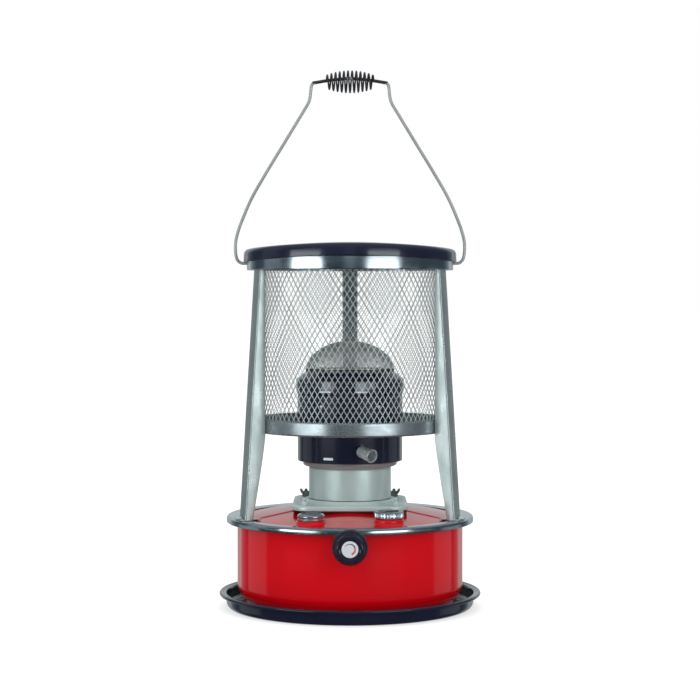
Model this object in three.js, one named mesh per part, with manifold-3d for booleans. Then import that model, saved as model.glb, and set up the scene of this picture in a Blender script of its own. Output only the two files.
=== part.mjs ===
// Portable round wick heater: a fuel tank standing in a drip tray, a wick burner under a
// black chimney with a gauze dome, and a mesh guard held by three channel legs between
// the tank's flange ring and an enamelled lid that carries a wire bail.
// Millimetres, +Z up. The origin is on the floor under the tray's centre, the front is -Y.

import * as THREE from 'three';
import { mergeVertices } from 'three/addons/utils/BufferGeometryUtils.js';
import Module from 'manifold-3d';

const wasm = await Module();
wasm.setup();

// ---------- driving dimensions ----------

const GAP = 0.3; // air between two pieces that touch
const SHEET = 1.2; // pressed sheet thickness
const LARGE = 32; // sides of the large turned shells
const MIDDLE = 24; // sides of the chimney and burner
const SMALL = 12; // sides of studs, screws and shafts

const TRAY = { floorR: 145, wallR: 155, rimR: 162.5, height: 20, corner: 10, bead: 2 };
const TANK = { radius: 140.2, corner: 30, flangeR: 148, flangeZ: 110.2 };
const TOP = { outerR: 135, ridgeR: 77, ridgeZ: 121, seatR: 67, seatZ: 124, holeR: 46 };
const RING = { innerR: 136.5, outerR: 153.4, lowZ: 106.4, topZ: 115 };
const LEG = { width: 19.6, headR: 125, footR: 145.5, headZ: 431, footZ: 115.3, frontAngle: 64 };
const LEG_INNER = { headR: 119, bendZ: 216, footR: 135.5 };
const LOWER_RING = { outerR: 118.5, lowZ: 219, highZ: 236, shelfR: 111 };
const GUARD = { outerR: 117.5, innerR: 116.5, lowZ: 220.5, highZ: 433, flats: 16, panels: 8 };
const MESH_CELL = { pitchZ: 66, firstZ: 259, rows: 3, strand: 3.4 };
const BAND = { outerR: 128, lowZ: 418.5, highZ: 434.8, flangeR: 119 };
const LID = { radius: 132, rimZ: 435.1, apexZ: 453, edge: 7, crownDrop: 6.5, flangeR: 119 };

const BASE = { half: 71, corner: 24, lowZ: 126, highZ: 132.4, beadR: 56, beadZ: 135.8 };
const STUD = { offset: 56, radius: 2.2, holeR: 2.6, lowZ: 121, highZ: 141 };
const COLLAR = { tubeR: 51, flareR: 58.5, lowZ: 136.1, flareZ: 174.5, topZ: 182 };
const WICK = { innerR: 37, outerR: 40.5, lowZ: 24, highZ: 179 };
const DRAFT = { innerR: 34, outerR: 35.2, lowZ: 2.5, highZ: 182 };
const GUIDE = { innerR: 41.3, outerR: 42.3, lowZ: 121, highZ: 181 };
const CHIMNEY = { lowR: 65, bandR: 67, lowZ: 182.3, bandZ: 267, shoulderZ: 284, neckR: 55, neckZ: 292.7 };
const DOME = { radius: 55, baseZ: 293, apexZ: 331, wall: 0.8 };
const WINDOW = { width: 14, height: 13, midZ: 276, angles: [-26, 11.5], paneY: -63.9 };
const HANDLE = { radius: 8, bore: 6.9, length: 22, yaw: 40, droop: 11, base: [13, -71, 198.5] };
const FLAME_TUBES = { hubR: 44.5, outerR: 47.3, topZ: 268, innerR: 34.2, innerLowZ: 185, innerTopZ: 262 };

const KNOB = { centreZ: 94.5, backY: 157, frontY: 181.7, skirtR: 21.6, faceR: 17.4, flutes: 20 };
const SHAFT = { radius: 2.5, frontY: 178.5, backY: 50 };
const SLEEVE = { innerR: 3, outerR: 4.3, backY: 56, frontY: 152, holeR: 4.7 };
const HEX_NUT = { acrossR: 8.6, length: 9, midY: 145.2, washerR: 9.4, washerY: 141.6 };
const GEAR = { teeth: 12, pitchR: 4.2, addendum: 0.55, dedendum: 0.85, faceWidth: 5 };

const FITTING = { x: 46.5, y: -105, bossR: 18, gaugeZ: 119, fillerZ: 121.7, boreR: 13 };
const CAP = { radius: 18, lowZ: 122, highZ: 130.6, flutes: 24, plugR: 12.2 };
const BEZEL = { radius: 16.5, highZ: 127.6, windowR: 12.6 };
const FLOAT = { length: 96, rest: 60, heading: [-0.6, 0.8], radius: 10, pivotZ: 104 };

const BAIL = { wireR: 1.95, pivotZ: 427, steps: 76 };
const GRIP = { half: 30.6, middleR: 14.3, endR: 8.7, wall: 2.2, dropZ: 4.4, topZ: 656 };

// ---------- colours ----------

const finish = {
  red: { color: 0xb81017, roughness: 0.18, metalness: 0 },
  black: { color: 0x0d0e13, roughness: 0.2, metalness: 0 },
  bright: { color: 0xc9ced2, roughness: 0.18, metalness: 1 },
  satin: { color: 0x9ba19c, roughness: 0.45, metalness: 1 },
  zinc: { color: 0xa9ada2, roughness: 0.4, metalness: 1 },
  brass: { color: 0xb49a55, roughness: 0.35, metalness: 1 },
  heat: { color: 0x6f6a64, roughness: 0.5, metalness: 1 },
  wick: { color: 0xd9d0bb, roughness: 1, metalness: 0 },
  gasket: { color: 0x26241f, roughness: 0.9, metalness: 0 },
  plastic: { color: 0x121318, roughness: 0.35, metalness: 0 },
  pale: { color: 0xd9d6e2, roughness: 0.5, metalness: 0 },
  clear: { color: 0xc9c2a8, roughness: 0.1, metalness: 0 },
};

// ---------- helpers ----------

const rad = THREE.MathUtils.degToRad;
const group = new THREE.Group();

// Drops collapsed triangles and turns the faces outwards.
function tidy(geometry) {
  geometry.deleteAttribute('normal');
  geometry.deleteAttribute('uv');
  const merged = mergeVertices(geometry, 1e-4);
  const index = [];
  const source = merged.index.array;
  for (let i = 0; i < source.length; i += 3) {
    const [a, b, c] = [source[i], source[i + 1], source[i + 2]];
    if (a !== b && b !== c && c !== a) index.push(a, b, c);
  }
  const p = merged.attributes.position;
  const [u, v, w] = [new THREE.Vector3(), new THREE.Vector3(), new THREE.Vector3()];
  let volume = 0;
  for (let i = 0; i < index.length; i += 3) {
    u.fromBufferAttribute(p, index[i]);
    v.fromBufferAttribute(p, index[i + 1]);
    w.fromBufferAttribute(p, index[i + 2]);
    volume += u.dot(v.cross(w));
  }
  merged.setIndex(volume < 0 ? index.reverse() : index);
  return merged;
}

function toSolid(geometry) {
  const ready = tidy(geometry);
  const vertProperties = new Float32Array(ready.attributes.position.array);
  const triVerts = new Uint32Array(ready.index.array);
  return new wasm.Manifold(new wasm.Mesh({ numProp: 3, vertProperties, triVerts }));
}

function toGeometry(solid) {
  const mesh = solid.getMesh();
  const geometry = new THREE.BufferGeometry();
  geometry.setAttribute('position', new THREE.BufferAttribute(mesh.vertProperties, 3));
  geometry.setIndex(new THREE.BufferAttribute(mesh.triVerts, 1));
  return geometry;
}

function cut(body, ...tools) {
  return toGeometry(tools.reduce((solid, tool) => solid.subtract(toSolid(tool)), toSolid(body)));
}

function join(body, ...others) {
  return toGeometry(others.reduce((solid, other) => solid.add(toSolid(other)), toSolid(body)));
}

// A turned body about +Z. The profile is [radius, z] points; a loop closes on itself.
function turned(profile, sides, loop = false) {
  const points = profile.map(([r, z]) => new THREE.Vector2(r, z));
  if (loop) points.push(points[0].clone());
  return tidy(new THREE.LatheGeometry(points, sides).rotateX(Math.PI / 2));
}

function arc(r, z, radius, from, to, count) {
  return Array.from({ length: count + 1 }, (_, i) => {
    const a = rad(from + ((to - from) * i) / count);
    return [r + radius * Math.cos(a), z + radius * Math.sin(a)];
  });
}

// A tube about +Z between two radii and two heights.
function tube(innerR, outerR, lowZ, highZ, sides) {
  return turned([[innerR, lowZ], [outerR, lowZ], [outerR, highZ], [innerR, highZ]], sides, true);
}

function rod(radius, lowZ, highZ, sides = SMALL) {
  const geometry = new THREE.CylinderGeometry(radius, radius, highZ - lowZ, sides);
  return geometry.rotateX(Math.PI / 2).translate(0, 0, (lowZ + highZ) / 2);
}

function box(sizeX, sizeY, sizeZ, x, y, z) {
  return new THREE.BoxGeometry(sizeX, sizeY, sizeZ).translate(x, y, z);
}

// An outline extruded along +Z from lowZ.
function slab(shape, lowZ, depth, curveSegments = 6) {
  const options = { depth, bevelEnabled: false, curveSegments };
  return new THREE.ExtrudeGeometry(shape, options).translate(0, 0, lowZ);
}

function roundedSquare(half, corner) {
  const shape = new THREE.Shape();
  const flat = half - corner;
  shape.absarc(flat, flat, corner, 0, Math.PI / 2);
  shape.absarc(-flat, flat, corner, Math.PI / 2, Math.PI);
  shape.absarc(-flat, -flat, corner, Math.PI, 1.5 * Math.PI);
  shape.absarc(flat, -flat, corner, 1.5 * Math.PI, 2 * Math.PI);
  return shape;
}

// A round outline whose radius steps in and out, for fluted rims.
function fluted(radius, depth, count) {
  const points = [];
  for (let i = 0; i < count * 2; i += 1) {
    const r = i % 2 ? radius - depth : radius;
    const a = (Math.PI * i) / count;
    points.push(new THREE.Vector2(r * Math.cos(a), r * Math.sin(a)));
  }
  return new THREE.Shape(points);
}

function polygon(points) {
  return new THREE.Shape(points.map(([x, y]) => new THREE.Vector2(x, y)));
}

function add(name, geometry, look, parent = group) {
  const mesh = new THREE.Mesh(geometry, new THREE.MeshStandardMaterial(finish[look]));
  mesh.name = name;
  parent.add(mesh);
  return mesh;
}

// ---------- drip tray ----------

function dripTray() {
  const { floorR, wallR, rimR, height, corner, bead } = TRAY;
  const beadR = rimR - bead;
  const inner = corner - SHEET;
  return turned([
    [0, 0],
    ...arc(floorR, corner, corner, -90, 0, 3),
    [wallR + 0.6, height - 2 * bead - 0.5],
    ...arc(beadR, height - bead, bead, -60, 90, 3),
    [wallR - 0.2, height - 0.4],
    ...arc(floorR, corner, inner, 0, -90, 2),
    [0, SHEET],
  ], LARGE);
}

add('drip_tray', dripTray(), 'black');

// ---------- tank: shell, top panel and flange ring ----------

const TANK_BOTTOM = SHEET + GAP;
const TOP_FLANGE = TANK.flangeZ + SHEET + GAP;

function panelZ(r) {
  const slope = (TOP.ridgeZ - TOP_FLANGE - SHEET) / (TOP.outerR - TOP.ridgeR);
  return TOP.ridgeZ - (r - TOP.ridgeR) * slope;
}

function tankShell() {
  const { radius, corner, flangeR, flangeZ } = TANK;
  const cornerR = radius - corner;
  const cornerZ = TANK_BOTTOM + corner;
  const holeR = DRAFT.outerR + GAP;
  const profile = [
    [holeR, TANK_BOTTOM],
    ...arc(cornerR, cornerZ, corner, -90, 0, 4),
    [radius, flangeZ],
    [flangeR, flangeZ],
    [flangeR, flangeZ + SHEET],
    [radius - SHEET, flangeZ + SHEET],
    ...arc(cornerR, cornerZ, corner - SHEET, 0, -90, 4),
    [holeR, TANK_BOTTOM + SHEET],
  ];
  const shaftHole = rod(SLEEVE.holeR, 120, 160).rotateX(Math.PI / 2).translate(0, 0, KNOB.centreZ);
  return cut(turned(profile, LARGE, true), shaftHole);
}

function tankTop() {
  const { outerR, ridgeR, ridgeZ, seatR, seatZ, holeR } = TOP;
  const panel = turned([
    [TANK.flangeR, TOP_FLANGE],
    [outerR, TOP_FLANGE],
    [ridgeR, ridgeZ - SHEET],
    [seatR, seatZ - SHEET],
    [holeR, seatZ - SHEET],
    [holeR, seatZ],
    [seatR, seatZ],
    [ridgeR, ridgeZ],
    [outerR, TOP_FLANGE + SHEET],
    [TANK.flangeR, TOP_FLANGE + SHEET],
  ], LARGE, true);
  const { x, y, bossR, gaugeZ, fillerZ, boreR } = FITTING;
  const boss = (side, topZ) => rod(bossR, TOP_FLANGE + 0.5, topZ, 24).translate(side * x, y, 0);
  const bore = (side) => rod(boreR, 100, 140, 20).translate(side * x, y, 0);
  return cut(join(panel, boss(-1, gaugeZ), boss(1, fillerZ)), bore(-1), bore(1));
}

// The bright trim ring laps the tank's seam; the legs' foot screws pass through it.
const FOOT_SCREW = { placeR: 149.2, shankR: 1.7, headR: 3.4, headTopZ: 118.8, holeR: 2.1 };

function flangeRing() {
  const { innerR, outerR, lowZ, topZ } = RING;
  const seatZ = TOP_FLANGE + SHEET + GAP;
  const skirt = outerR - 1.8;
  const ring = turned([
    [innerR, seatZ],
    [skirt - 1.8, seatZ],
    [skirt, seatZ - 1.4],
    [skirt, lowZ + 0.6],
    [skirt + 0.8, lowZ],
    [outerR, lowZ + 0.8],
    [outerR, seatZ],
    [outerR - 1.6, topZ - 0.1],
    [skirt - 1.8, topZ],
    [skirt - 4, seatZ + SHEET],
    [innerR, seatZ + SHEET],
  ], LARGE, true);
  const { placeR, holeR } = FOOT_SCREW;
  const holes = legAngles.map((angle) => atAngle(rod(holeR, 110, 120, 8), placeR, angle));
  return cut(ring, ...holes);
}

// Angles are measured from the front, positive towards +X.
const legAngles = [-LEG.frontAngle, LEG.frontAngle, 180];
const legNames = ['left', 'right', 'rear'];

function atAngle(geometry, radius, angle) {
  const a = rad(angle);
  return geometry.translate(radius * Math.sin(a), -radius * Math.cos(a), 0);
}

add('tank_shell', tankShell(), 'red');
add('tank_top', tankTop(), 'red');
add('flange_ring', flangeRing(), 'bright');

// ---------- guard: legs, rings, mesh, band and lid ----------

// A channel leg in its own frame: +X outwards, +Y sideways, +Z up.
function leg() {
  const { width, headR, footR, headZ, footZ } = LEG;
  const outline = (wall, overlap) => polygon([
    [footR - wall, footZ - overlap],
    [headR - wall, headZ + overlap],
    [LEG_INNER.headR - overlap * 3, headZ + overlap],
    [LEG_INNER.headR - overlap * 3, LEG_INNER.bendZ],
    [LEG_INNER.footR - overlap * 3, footZ - overlap],
  ]);
  const upright = (shape, depth) => slab(shape, -depth / 2, depth).rotateX(Math.PI / 2);
  const channel = cut(upright(outline(0, 0), width), upright(outline(SHEET, 2), width - 2 * SHEET));
  const tab = box(28, width - 2, SHEET, footR - 7, 0, footZ + SHEET / 2);
  const screwHole = rod(FOOT_SCREW.holeR, footZ - 2, footZ + 4, 8).translate(FOOT_SCREW.placeR, 0, 0);
  return cut(join(channel, tab), screwHole);
}

function footScrew() {
  const { shankR, headR, headTopZ } = FOOT_SCREW;
  const shank = rod(shankR, RING.topZ - 1.6, LEG.footZ + 2, 8);
  return join(shank, rod(headR, LEG.footZ + SHEET + GAP, headTopZ, 8));
}

function guardSleeve() {
  const { outerR, innerR, lowZ, highZ, flats } = GUARD;
  const { pitchZ, firstZ, rows, strand } = MESH_CELL;
  const halfW = (Math.PI * outerR) / flats;
  const halfH = pitchZ / 2;
  const reach = (halfW * halfH) / Math.hypot(halfW, halfH);
  const k = 1 - strand / 2 / reach;
  const cell = polygon([[halfW * k, 0], [0, halfH * k], [-halfW * k, 0], [0, -halfH * k]]);
  const cells = [];
  for (let i = 0; i < flats * 2; i += 1) {
    const onFold = i % 2 === 0;
    for (let row = 0; row < (onFold ? rows - 1 : rows); row += 1) {
      const z = firstZ + pitchZ * (row + (onFold ? 0.5 : 0));
      const window = slab(cell, outerR - 8, 16).rotateY(Math.PI / 2).rotateX(Math.PI / 2);
      cells.push(toSolid(window.translate(0, 0, z).rotateZ((Math.PI * i) / flats)));
    }
  }
  const sleeve = toSolid(tube(innerR, outerR, lowZ, highZ, flats));
  return cells.reduce((solid, tool) => solid.subtract(tool), sleeve);
}

// Eight panels of two flats each, which meet at every second fold.
function guardPanels() {
  const { outerR, lowZ, highZ, panels } = GUARD;
  const half = Math.PI / panels;
  const sleeve = guardSleeve();
  const reach = outerR * 2;
  const wedge = polygon([[0, 0], [reach, reach * Math.tan(half)], [reach, -reach * Math.tan(half)]]);
  return Array.from({ length: panels }, (_, i) => {
    const sector = slab(wedge, lowZ - 1, highZ - lowZ + 2).translate(GAP / 2 / Math.sin(half), 0, 0);
    return toGeometry(sleeve.intersect(toSolid(sector.rotateZ(half * (2 * i + 1)))));
  });
}

function topBand() {
  const { outerR, lowZ, highZ, flangeR } = BAND;
  const band = turned([
    [outerR - SHEET, lowZ],
    [outerR, lowZ],
    [outerR, highZ],
    [flangeR, highZ],
    [flangeR, highZ - SHEET],
    [outerR - SHEET, highZ - SHEET],
  ], LARGE, true);
  const pivotHoles = rod(BAIL.wireR + 1, -150, 150, 12).rotateY(Math.PI / 2);
  return cut(band, pivotHoles.translate(0, 0, BAIL.pivotZ));
}

function lid() {
  const { radius, rimZ, apexZ, edge, crownDrop, flangeR } = LID;
  const edgeR = radius - edge;
  const crown = (r) => apexZ - crownDrop * (r / edgeR) ** 2;
  const edgeZ = rimZ + 1;
  const height = crown(edgeR) - edgeZ;
  const rim = (offset, from, to) => arc(0, 0, 1, from, to, 4).map(([c, s]) => [
    edgeR + (edge - offset) * c, edgeZ + (height - offset) * s,
  ]);
  return turned([
    [0, crown(0)],
    [edgeR * 0.5, crown(edgeR * 0.5)],
    ...rim(0, 90, 0),
    [radius - 1, rimZ],
    [flangeR, rimZ],
    [flangeR, rimZ + SHEET],
    [radius - 2 * SHEET, rimZ + SHEET],
    ...rim(SHEET, 8, 90),
    [edgeR * 0.5, crown(edgeR * 0.5) - SHEET],
    [0, crown(0) - SHEET],
  ], LARGE);
}

legAngles.forEach((angle, i) => {
  const place = new THREE.Group();
  place.rotation.z = rad(angle - 90);
  group.add(place);
  add(`leg_${legNames[i]}`, leg(), 'satin', place);
  add(`leg_screw_${legNames[i]}`, footScrew(), 'satin', place).position.x = FOOT_SCREW.placeR;
});

function lowerRing() {
  const { outerR, lowZ, highZ, shelfR } = LOWER_RING;
  const innerR = GUARD.outerR + GAP;
  return turned([
    [shelfR, lowZ],
    [outerR, lowZ],
    [outerR, highZ],
    [innerR, highZ],
    [innerR, lowZ + SHEET],
    [shelfR, lowZ + SHEET],
  ], LARGE, true);
}

add('lower_ring', lowerRing(), 'bright');
guardPanels().forEach((panel, i) => add(`guard_panel_${i + 1}`, panel, 'bright'));
add('top_band', topBand(), 'bright');
add('top_plate', lid(), 'black');

// ---------- burner ----------

function burnerBase() {
  const { half, corner, lowZ, highZ, beadR, beadZ } = BASE;
  const plate = slab(roundedSquare(half, corner), lowZ, highZ - lowZ, 5);
  const bead = turned([
    [0, lowZ],
    [beadR, lowZ],
    [beadR, beadZ - 1.5],
    [beadR - 1.5, beadZ],
    [0, beadZ],
  ], MIDDLE);
  const hollow = slab(roundedSquare(half - SHEET, corner - SHEET), lowZ - 1, highZ - lowZ - 0.4, 5);
  const beadHollow = rod(beadR - 1.6, lowZ - 1, beadZ - 1.5, MIDDLE);
  const wickHole = rod(GUIDE.outerR + 0.4, lowZ - 1, beadZ + 1, MIDDLE);
  const studHoles = corners.map(([x, y]) => rod(STUD.holeR, lowZ - 1, beadZ, 8).translate(x, y, 0));
  return cut(join(plate, bead), hollow, beadHollow, wickHole, ...studHoles);
}

const corners = [[-1, -1], [1, -1], [1, 1], [-1, 1]].map(([x, y]) => [x * STUD.offset, y * STUD.offset]);
const cornerNames = ['front_left', 'front_right', 'rear_right', 'rear_left'];

function baseGasket() {
  const sheet = slab(roundedSquare(BASE.half - 1.5, BASE.corner - 1.5), TOP.seatZ + GAP, 1.4, 5);
  const studHoles = corners.map(([x, y]) => rod(STUD.holeR, 120, 130, 8).translate(x, y, 0));
  return cut(sheet, rod(TOP.holeR + 2, 120, 130, MIDDLE), ...studHoles);
}

// A wing nut about +Z with its foot at z = 0, its wings along X.
function wingNut() {
  const wing = polygon([[3.4, 1.4], [7.4, 2.6], [9.6, 8.6], [7.8, 10.6], [5.2, 6.8], [3.4, 6.2]]);
  const blade = slab(wing, -0.9, 1.8).rotateX(Math.PI / 2);
  const nut = join(rod(4.6, 0, 6.4, 10), blade, blade.clone().rotateZ(Math.PI));
  return cut(nut, rod(STUD.radius + GAP, -1, 12, 10));
}

add('base_gasket', baseGasket(), 'gasket');
add('burner_base', burnerBase(), 'zinc');
corners.forEach(([x, y], i) => {
  add(`stud_${cornerNames[i]}`, rod(STUD.radius, STUD.lowZ, STUD.highZ, 10), 'zinc').position.set(x, y, 0);
  const nut = add(`wing_nut_${cornerNames[i]}`, wingNut(), 'zinc');
  nut.position.set(x, y, BASE.highZ + GAP);
  nut.rotation.z = rad(25 + 50 * (i % 2));
});

function burnerCollar() {
  const { tubeR, flareR, lowZ, flareZ, topZ } = COLLAR;
  const openR = GUIDE.outerR + 0.6;
  return turned([
    [tubeR - SHEET, lowZ],
    [tubeR, lowZ],
    [tubeR, flareZ],
    [flareR, flareZ + 2],
    [flareR, topZ],
    [openR, topZ],
    [openR, topZ - SHEET],
    [flareR - SHEET, topZ - SHEET],
    [flareR - SHEET, flareZ + 3],
    [tubeR - SHEET, flareZ + 1],
  ], MIDDLE, true);
}

function spreader() {
  const seatR = DRAFT.innerR - 0.4;
  return turned([
    [0, 196],
    [24, 196],
    [30, 190],
    [31, DRAFT.highZ + 2],
    [seatR, DRAFT.highZ + 1],
    [seatR, 175],
    [seatR - 1, 175],
    [seatR - 1, DRAFT.highZ],
    [29.8, DRAFT.highZ + 1],
    [28.8, 189.4],
    [23.4, 194.8],
    [0, 194.8],
  ], MIDDLE);
}

add('burner_collar', burnerCollar(), 'zinc');
add('wick_guide', tube(GUIDE.innerR, GUIDE.outerR, GUIDE.lowZ, GUIDE.highZ, MIDDLE), 'brass');
add('draft_tube', tube(DRAFT.innerR, DRAFT.outerR, DRAFT.lowZ, DRAFT.highZ, MIDDLE), 'brass');
add('flame_spreader', spreader(), 'heat');
add('wick', tube(WICK.innerR, WICK.outerR, WICK.lowZ, WICK.highZ, MIDDLE), 'wick');

// ---------- wick lift: holder with rack, pinion shaft, bush and knob ----------

const TOOTH_PITCH = (2 * Math.PI * GEAR.pitchR) / GEAR.teeth;
const TOOTH_HALF = { root: 0.72, tip: 0.26 };

function pinion() {
  const { teeth, pitchR, addendum, dedendum, faceWidth } = GEAR;
  const points = [];
  for (let i = 0; i < teeth; i += 1) {
    const middle = ((i + 0.5) * 2 * Math.PI) / teeth;
    for (const [side, r, half] of [
      [-1, pitchR - dedendum, TOOTH_HALF.root], [-1, pitchR + addendum, TOOTH_HALF.tip],
      [1, pitchR + addendum, TOOTH_HALF.tip], [1, pitchR - dedendum, TOOTH_HALF.root],
    ]) {
      const a = middle + (side * half) / r;
      points.push([r * Math.cos(a), r * Math.sin(a)]);
    }
  }
  return slab(polygon(points), SHAFT.backY - faceWidth, faceWidth);
}

// The rack stands left of the shaft and faces it; one of its teeth is level with the shaft.
function wickHolder() {
  const { pitchR, addendum, dedendum } = GEAR;
  const [lowZ, highZ, ringR] = [68, 101, WICK.outerR + GAP];
  const teethCount = Math.floor((highZ - lowZ - 2) / TOOTH_PITCH);
  const firstZ = KNOB.centreZ - TOOTH_PITCH * (teethCount - 3);
  const face = -pitchR - dedendum;
  const points = [[face - 2.4, lowZ], [face, lowZ]];
  for (let i = 0; i < teethCount; i += 1) {
    const z = firstZ + i * TOOTH_PITCH;
    points.push([face, z - TOOTH_HALF.root]);
    points.push([-pitchR + addendum, z - TOOTH_HALF.tip]);
    points.push([-pitchR + addendum, z + TOOTH_HALF.tip]);
    points.push([face, z + TOOTH_HALF.root]);
  }
  points.push([face, highZ], [face - 2.4, highZ]);
  const rack = slab(polygon(points), 0, 8.5).rotateX(Math.PI / 2).translate(0, -40.9, 0);
  const shortTeeth = box(8, 3.4, 40, 0, -42.8, (lowZ + highZ) / 2);
  return join(tube(ringR, ringR + 1.2, lowZ, highZ, MIDDLE), cut(rack, shortTeeth.translate(-0.9, 0, 0)));
}

function alongFront(geometry) {
  return geometry.rotateX(Math.PI / 2);
}

function wickShaft() {
  return alongFront(join(pinion(), rod(SHAFT.radius, SHAFT.backY - 1, SHAFT.frontY, 12)));
}

function knobBody() {
  const { backY, frontY, skirtR, faceR, flutes } = KNOB;
  const face = turned([
    [0, SHAFT.frontY + GAP],
    [SHAFT.radius + GAP, SHAFT.frontY + GAP],
    [SHAFT.radius + GAP, backY],
    [skirtR - 2, backY],
    [skirtR - 2, backY + 12],
    [faceR, backY + 14],
    [faceR - 0.6, frontY - 1.2],
    [faceR - 1.8, frontY],
    [0, frontY],
  ], MIDDLE);
  const grip = slab(fluted(skirtR, 1, flutes), backY + 0.5, 11);
  const hollow = rod(skirtR - 4, backY, backY + 14, 20);
  return alongFront(join(face, cut(grip, hollow)));
}

function hexNut() {
  const { acrossR, length, midY, washerR, washerY } = HEX_NUT;
  const nut = new THREE.CylinderGeometry(acrossR, acrossR, length, 6).rotateX(Math.PI / 2);
  const washer = rod(washerR, TANK.radius + GAP, washerY, 20);
  const bore = rod(SLEEVE.holeR, washerY - 4, midY + length, SMALL);
  return alongFront(cut(join(washer, nut.translate(0, 0, midY)), bore));
}

add('wick_holder', wickHolder(), 'brass');
const lift = new THREE.Group();
lift.position.z = KNOB.centreZ;
group.add(lift);
add('wick_shaft', wickShaft(), 'brass', lift);
const sleeve = tube(SLEEVE.innerR, SLEEVE.outerR, SLEEVE.backY, SLEEVE.frontY, SMALL);
add('shaft_sleeve', alongFront(sleeve), 'brass', lift);
add('shaft_bush', hexNut(), 'zinc', lift);
add('wick_knob', knobBody(), 'plastic', lift);
add('knob_dial', alongFront(rod(9.8, KNOB.frontY + GAP, KNOB.frontY + 1.1, 24)), 'pale', lift);

// ---------- chimney: shroud, windows, gauze dome, flame tubes and handle ----------

function shroud() {
  const { lowR, bandR, lowZ, bandZ, shoulderZ, neckR, neckZ } = CHIMNEY;
  const shell = turned([
    [FLAME_TUBES.hubR, lowZ],
    [lowR - 1, lowZ],
    [lowR, lowZ + 1],
    [lowR, bandZ - 1],
    [bandR, bandZ + 1],
    [bandR, shoulderZ],
    [neckR, neckZ],
    [neckR - 1.2, neckZ],
    [bandR - 1.6, shoulderZ - 0.8],
    [bandR - SHEET, bandZ + 1.6],
    [lowR - SHEET, bandZ - 0.4],
    [lowR - SHEET, lowZ + SHEET],
    [FLAME_TUBES.hubR, lowZ + SHEET],
  ], MIDDLE, true);
  const openings = WINDOW.angles.map((angle) => {
    const opening = box(WINDOW.width, 20, WINDOW.height, 0, -bandR, WINDOW.midZ);
    return opening.rotateZ(rad(angle));
  });
  return cut(shell, ...openings);
}

function dome() {
  const { radius, baseZ, apexZ, wall } = DOME;
  const rise = apexZ - baseZ;
  const quarter = (offset, from, to) => arc(0, 0, 1, from, to, 5).map(([c, s]) => [
    c < 1e-6 ? 0 : (radius - offset) * c, baseZ + (rise - offset) * s,
  ]);
  return turned([...quarter(0, 0, 90), ...quarter(wall, 90, 0), [radius, baseZ]], MIDDLE);
}

add('chimney_shroud', shroud(), 'black');
add('gauze_dome', dome(), 'heat');

function outerFlameTube() {
  const { outerR, topZ } = FLAME_TUBES;
  return tube(outerR - 0.8, outerR, CHIMNEY.lowZ + SHEET + GAP, topZ, MIDDLE);
}

// The inner tube hangs from a collar that reaches out to the outer tube.
function innerFlameTube() {
  const { outerR, innerR, innerLowZ, innerTopZ } = FLAME_TUBES;
  const collarR = outerR - 1.1;
  return turned([
    [innerR - 0.8, innerLowZ],
    [innerR, innerLowZ],
    [innerR, innerTopZ - 1],
    [collarR, innerTopZ - 1],
    [collarR, innerTopZ],
    [innerR - 0.8, innerTopZ],
  ], MIDDLE, true);
}

add('flame_tube_outer', outerFlameTube(), 'heat');
add('flame_tube_inner', innerFlameTube(), 'heat');
WINDOW.angles.forEach((angle, i) => {
  const pane = box(WINDOW.width + 0.6, 0.6, WINDOW.height - 0.2, 0, WINDOW.paneY, WINDOW.midZ);
  add(`mica_window_${['left', 'right'][i]}`, pane, 'clear').rotation.z = rad(angle);
});

const handle = new THREE.Group();
handle.position.set(...HANDLE.base);
handle.rotation.order = 'ZXY';
handle.rotation.set(rad(90 + HANDLE.droop), 0, rad(HANDLE.yaw));
group.add(handle);
add('chimney_handle', tube(HANDLE.bore, HANDLE.radius, 0, HANDLE.length, SMALL), 'bright', handle);
add('handle_screw', join(rod(HANDLE.bore - 0.5, 2, 4, 12), rod(2, 0.5, 7, 8)), 'zinc', handle);

// ---------- gauge and filler ----------

const gauge = new THREE.Group();
gauge.position.set(-FITTING.x, FITTING.y, 0);
group.add(gauge);

function bezel() {
  const { radius, highZ, windowR } = BEZEL;
  const lowZ = FITTING.gaugeZ + GAP;
  return turned([
    [radius - SHEET, lowZ],
    [radius, lowZ],
    [radius, lowZ + 5],
    [radius - 1.6, highZ - 0.3],
    [windowR + 1, highZ],
    [windowR, highZ - SHEET],
    [radius - 2.6, highZ - 1.6],
    [radius - SHEET, lowZ + 4.6],
  ], 24, true);
}

const FLOAT_TURN = Math.atan2(FLOAT.heading[1], FLOAT.heading[0]);

// A post whose lower end is slotted for the float arm's hub.
function gaugeStem() {
  const slot = box(12, 4.8, 14, 0, 0, FLOAT.pivotZ).rotateZ(FLOAT_TURN);
  return cut(rod(5, FLOAT.pivotZ - 5, 118.6, 12), slot);
}

function floatArm() {
  const stalk = rod(1.2, 4, FLOAT.length, 8);
  const bob = rod(FLOAT.radius, FLOAT.length - 22, FLOAT.length, 12);
  const hub = rod(3.2, -2, 2, 10).rotateX(Math.PI / 2);
  return join(join(stalk, bob), join(hub, rod(1.2, 0, 6, 8)));
}

add('gauge_bezel', bezel(), 'bright', gauge);
add('gauge_glass', rod(13.2, 124.5, 125.6, 24), 'clear', gauge);
add('gauge_dial', tube(1.6, 14.4, FITTING.gaugeZ + GAP, 120.4, 24), 'pale', gauge);
add('gauge_pointer', join(rod(1.2, 119.4, 122.4, 8), box(2, 11, 0.8, 0, 4.5, 122)), 'gasket', gauge);
add('gauge_stem', gaugeStem(), 'brass', gauge);

const arm = new THREE.Group();
arm.position.z = FLOAT.pivotZ;
arm.rotation.order = 'ZYX';
arm.rotation.set(0, rad(90 + FLOAT.rest), FLOAT_TURN);
gauge.add(arm);
add('float_arm', floatArm(), 'brass', arm);

const filler = new THREE.Group();
filler.position.set(FITTING.x, FITTING.y, 0);
group.add(filler);

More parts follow.
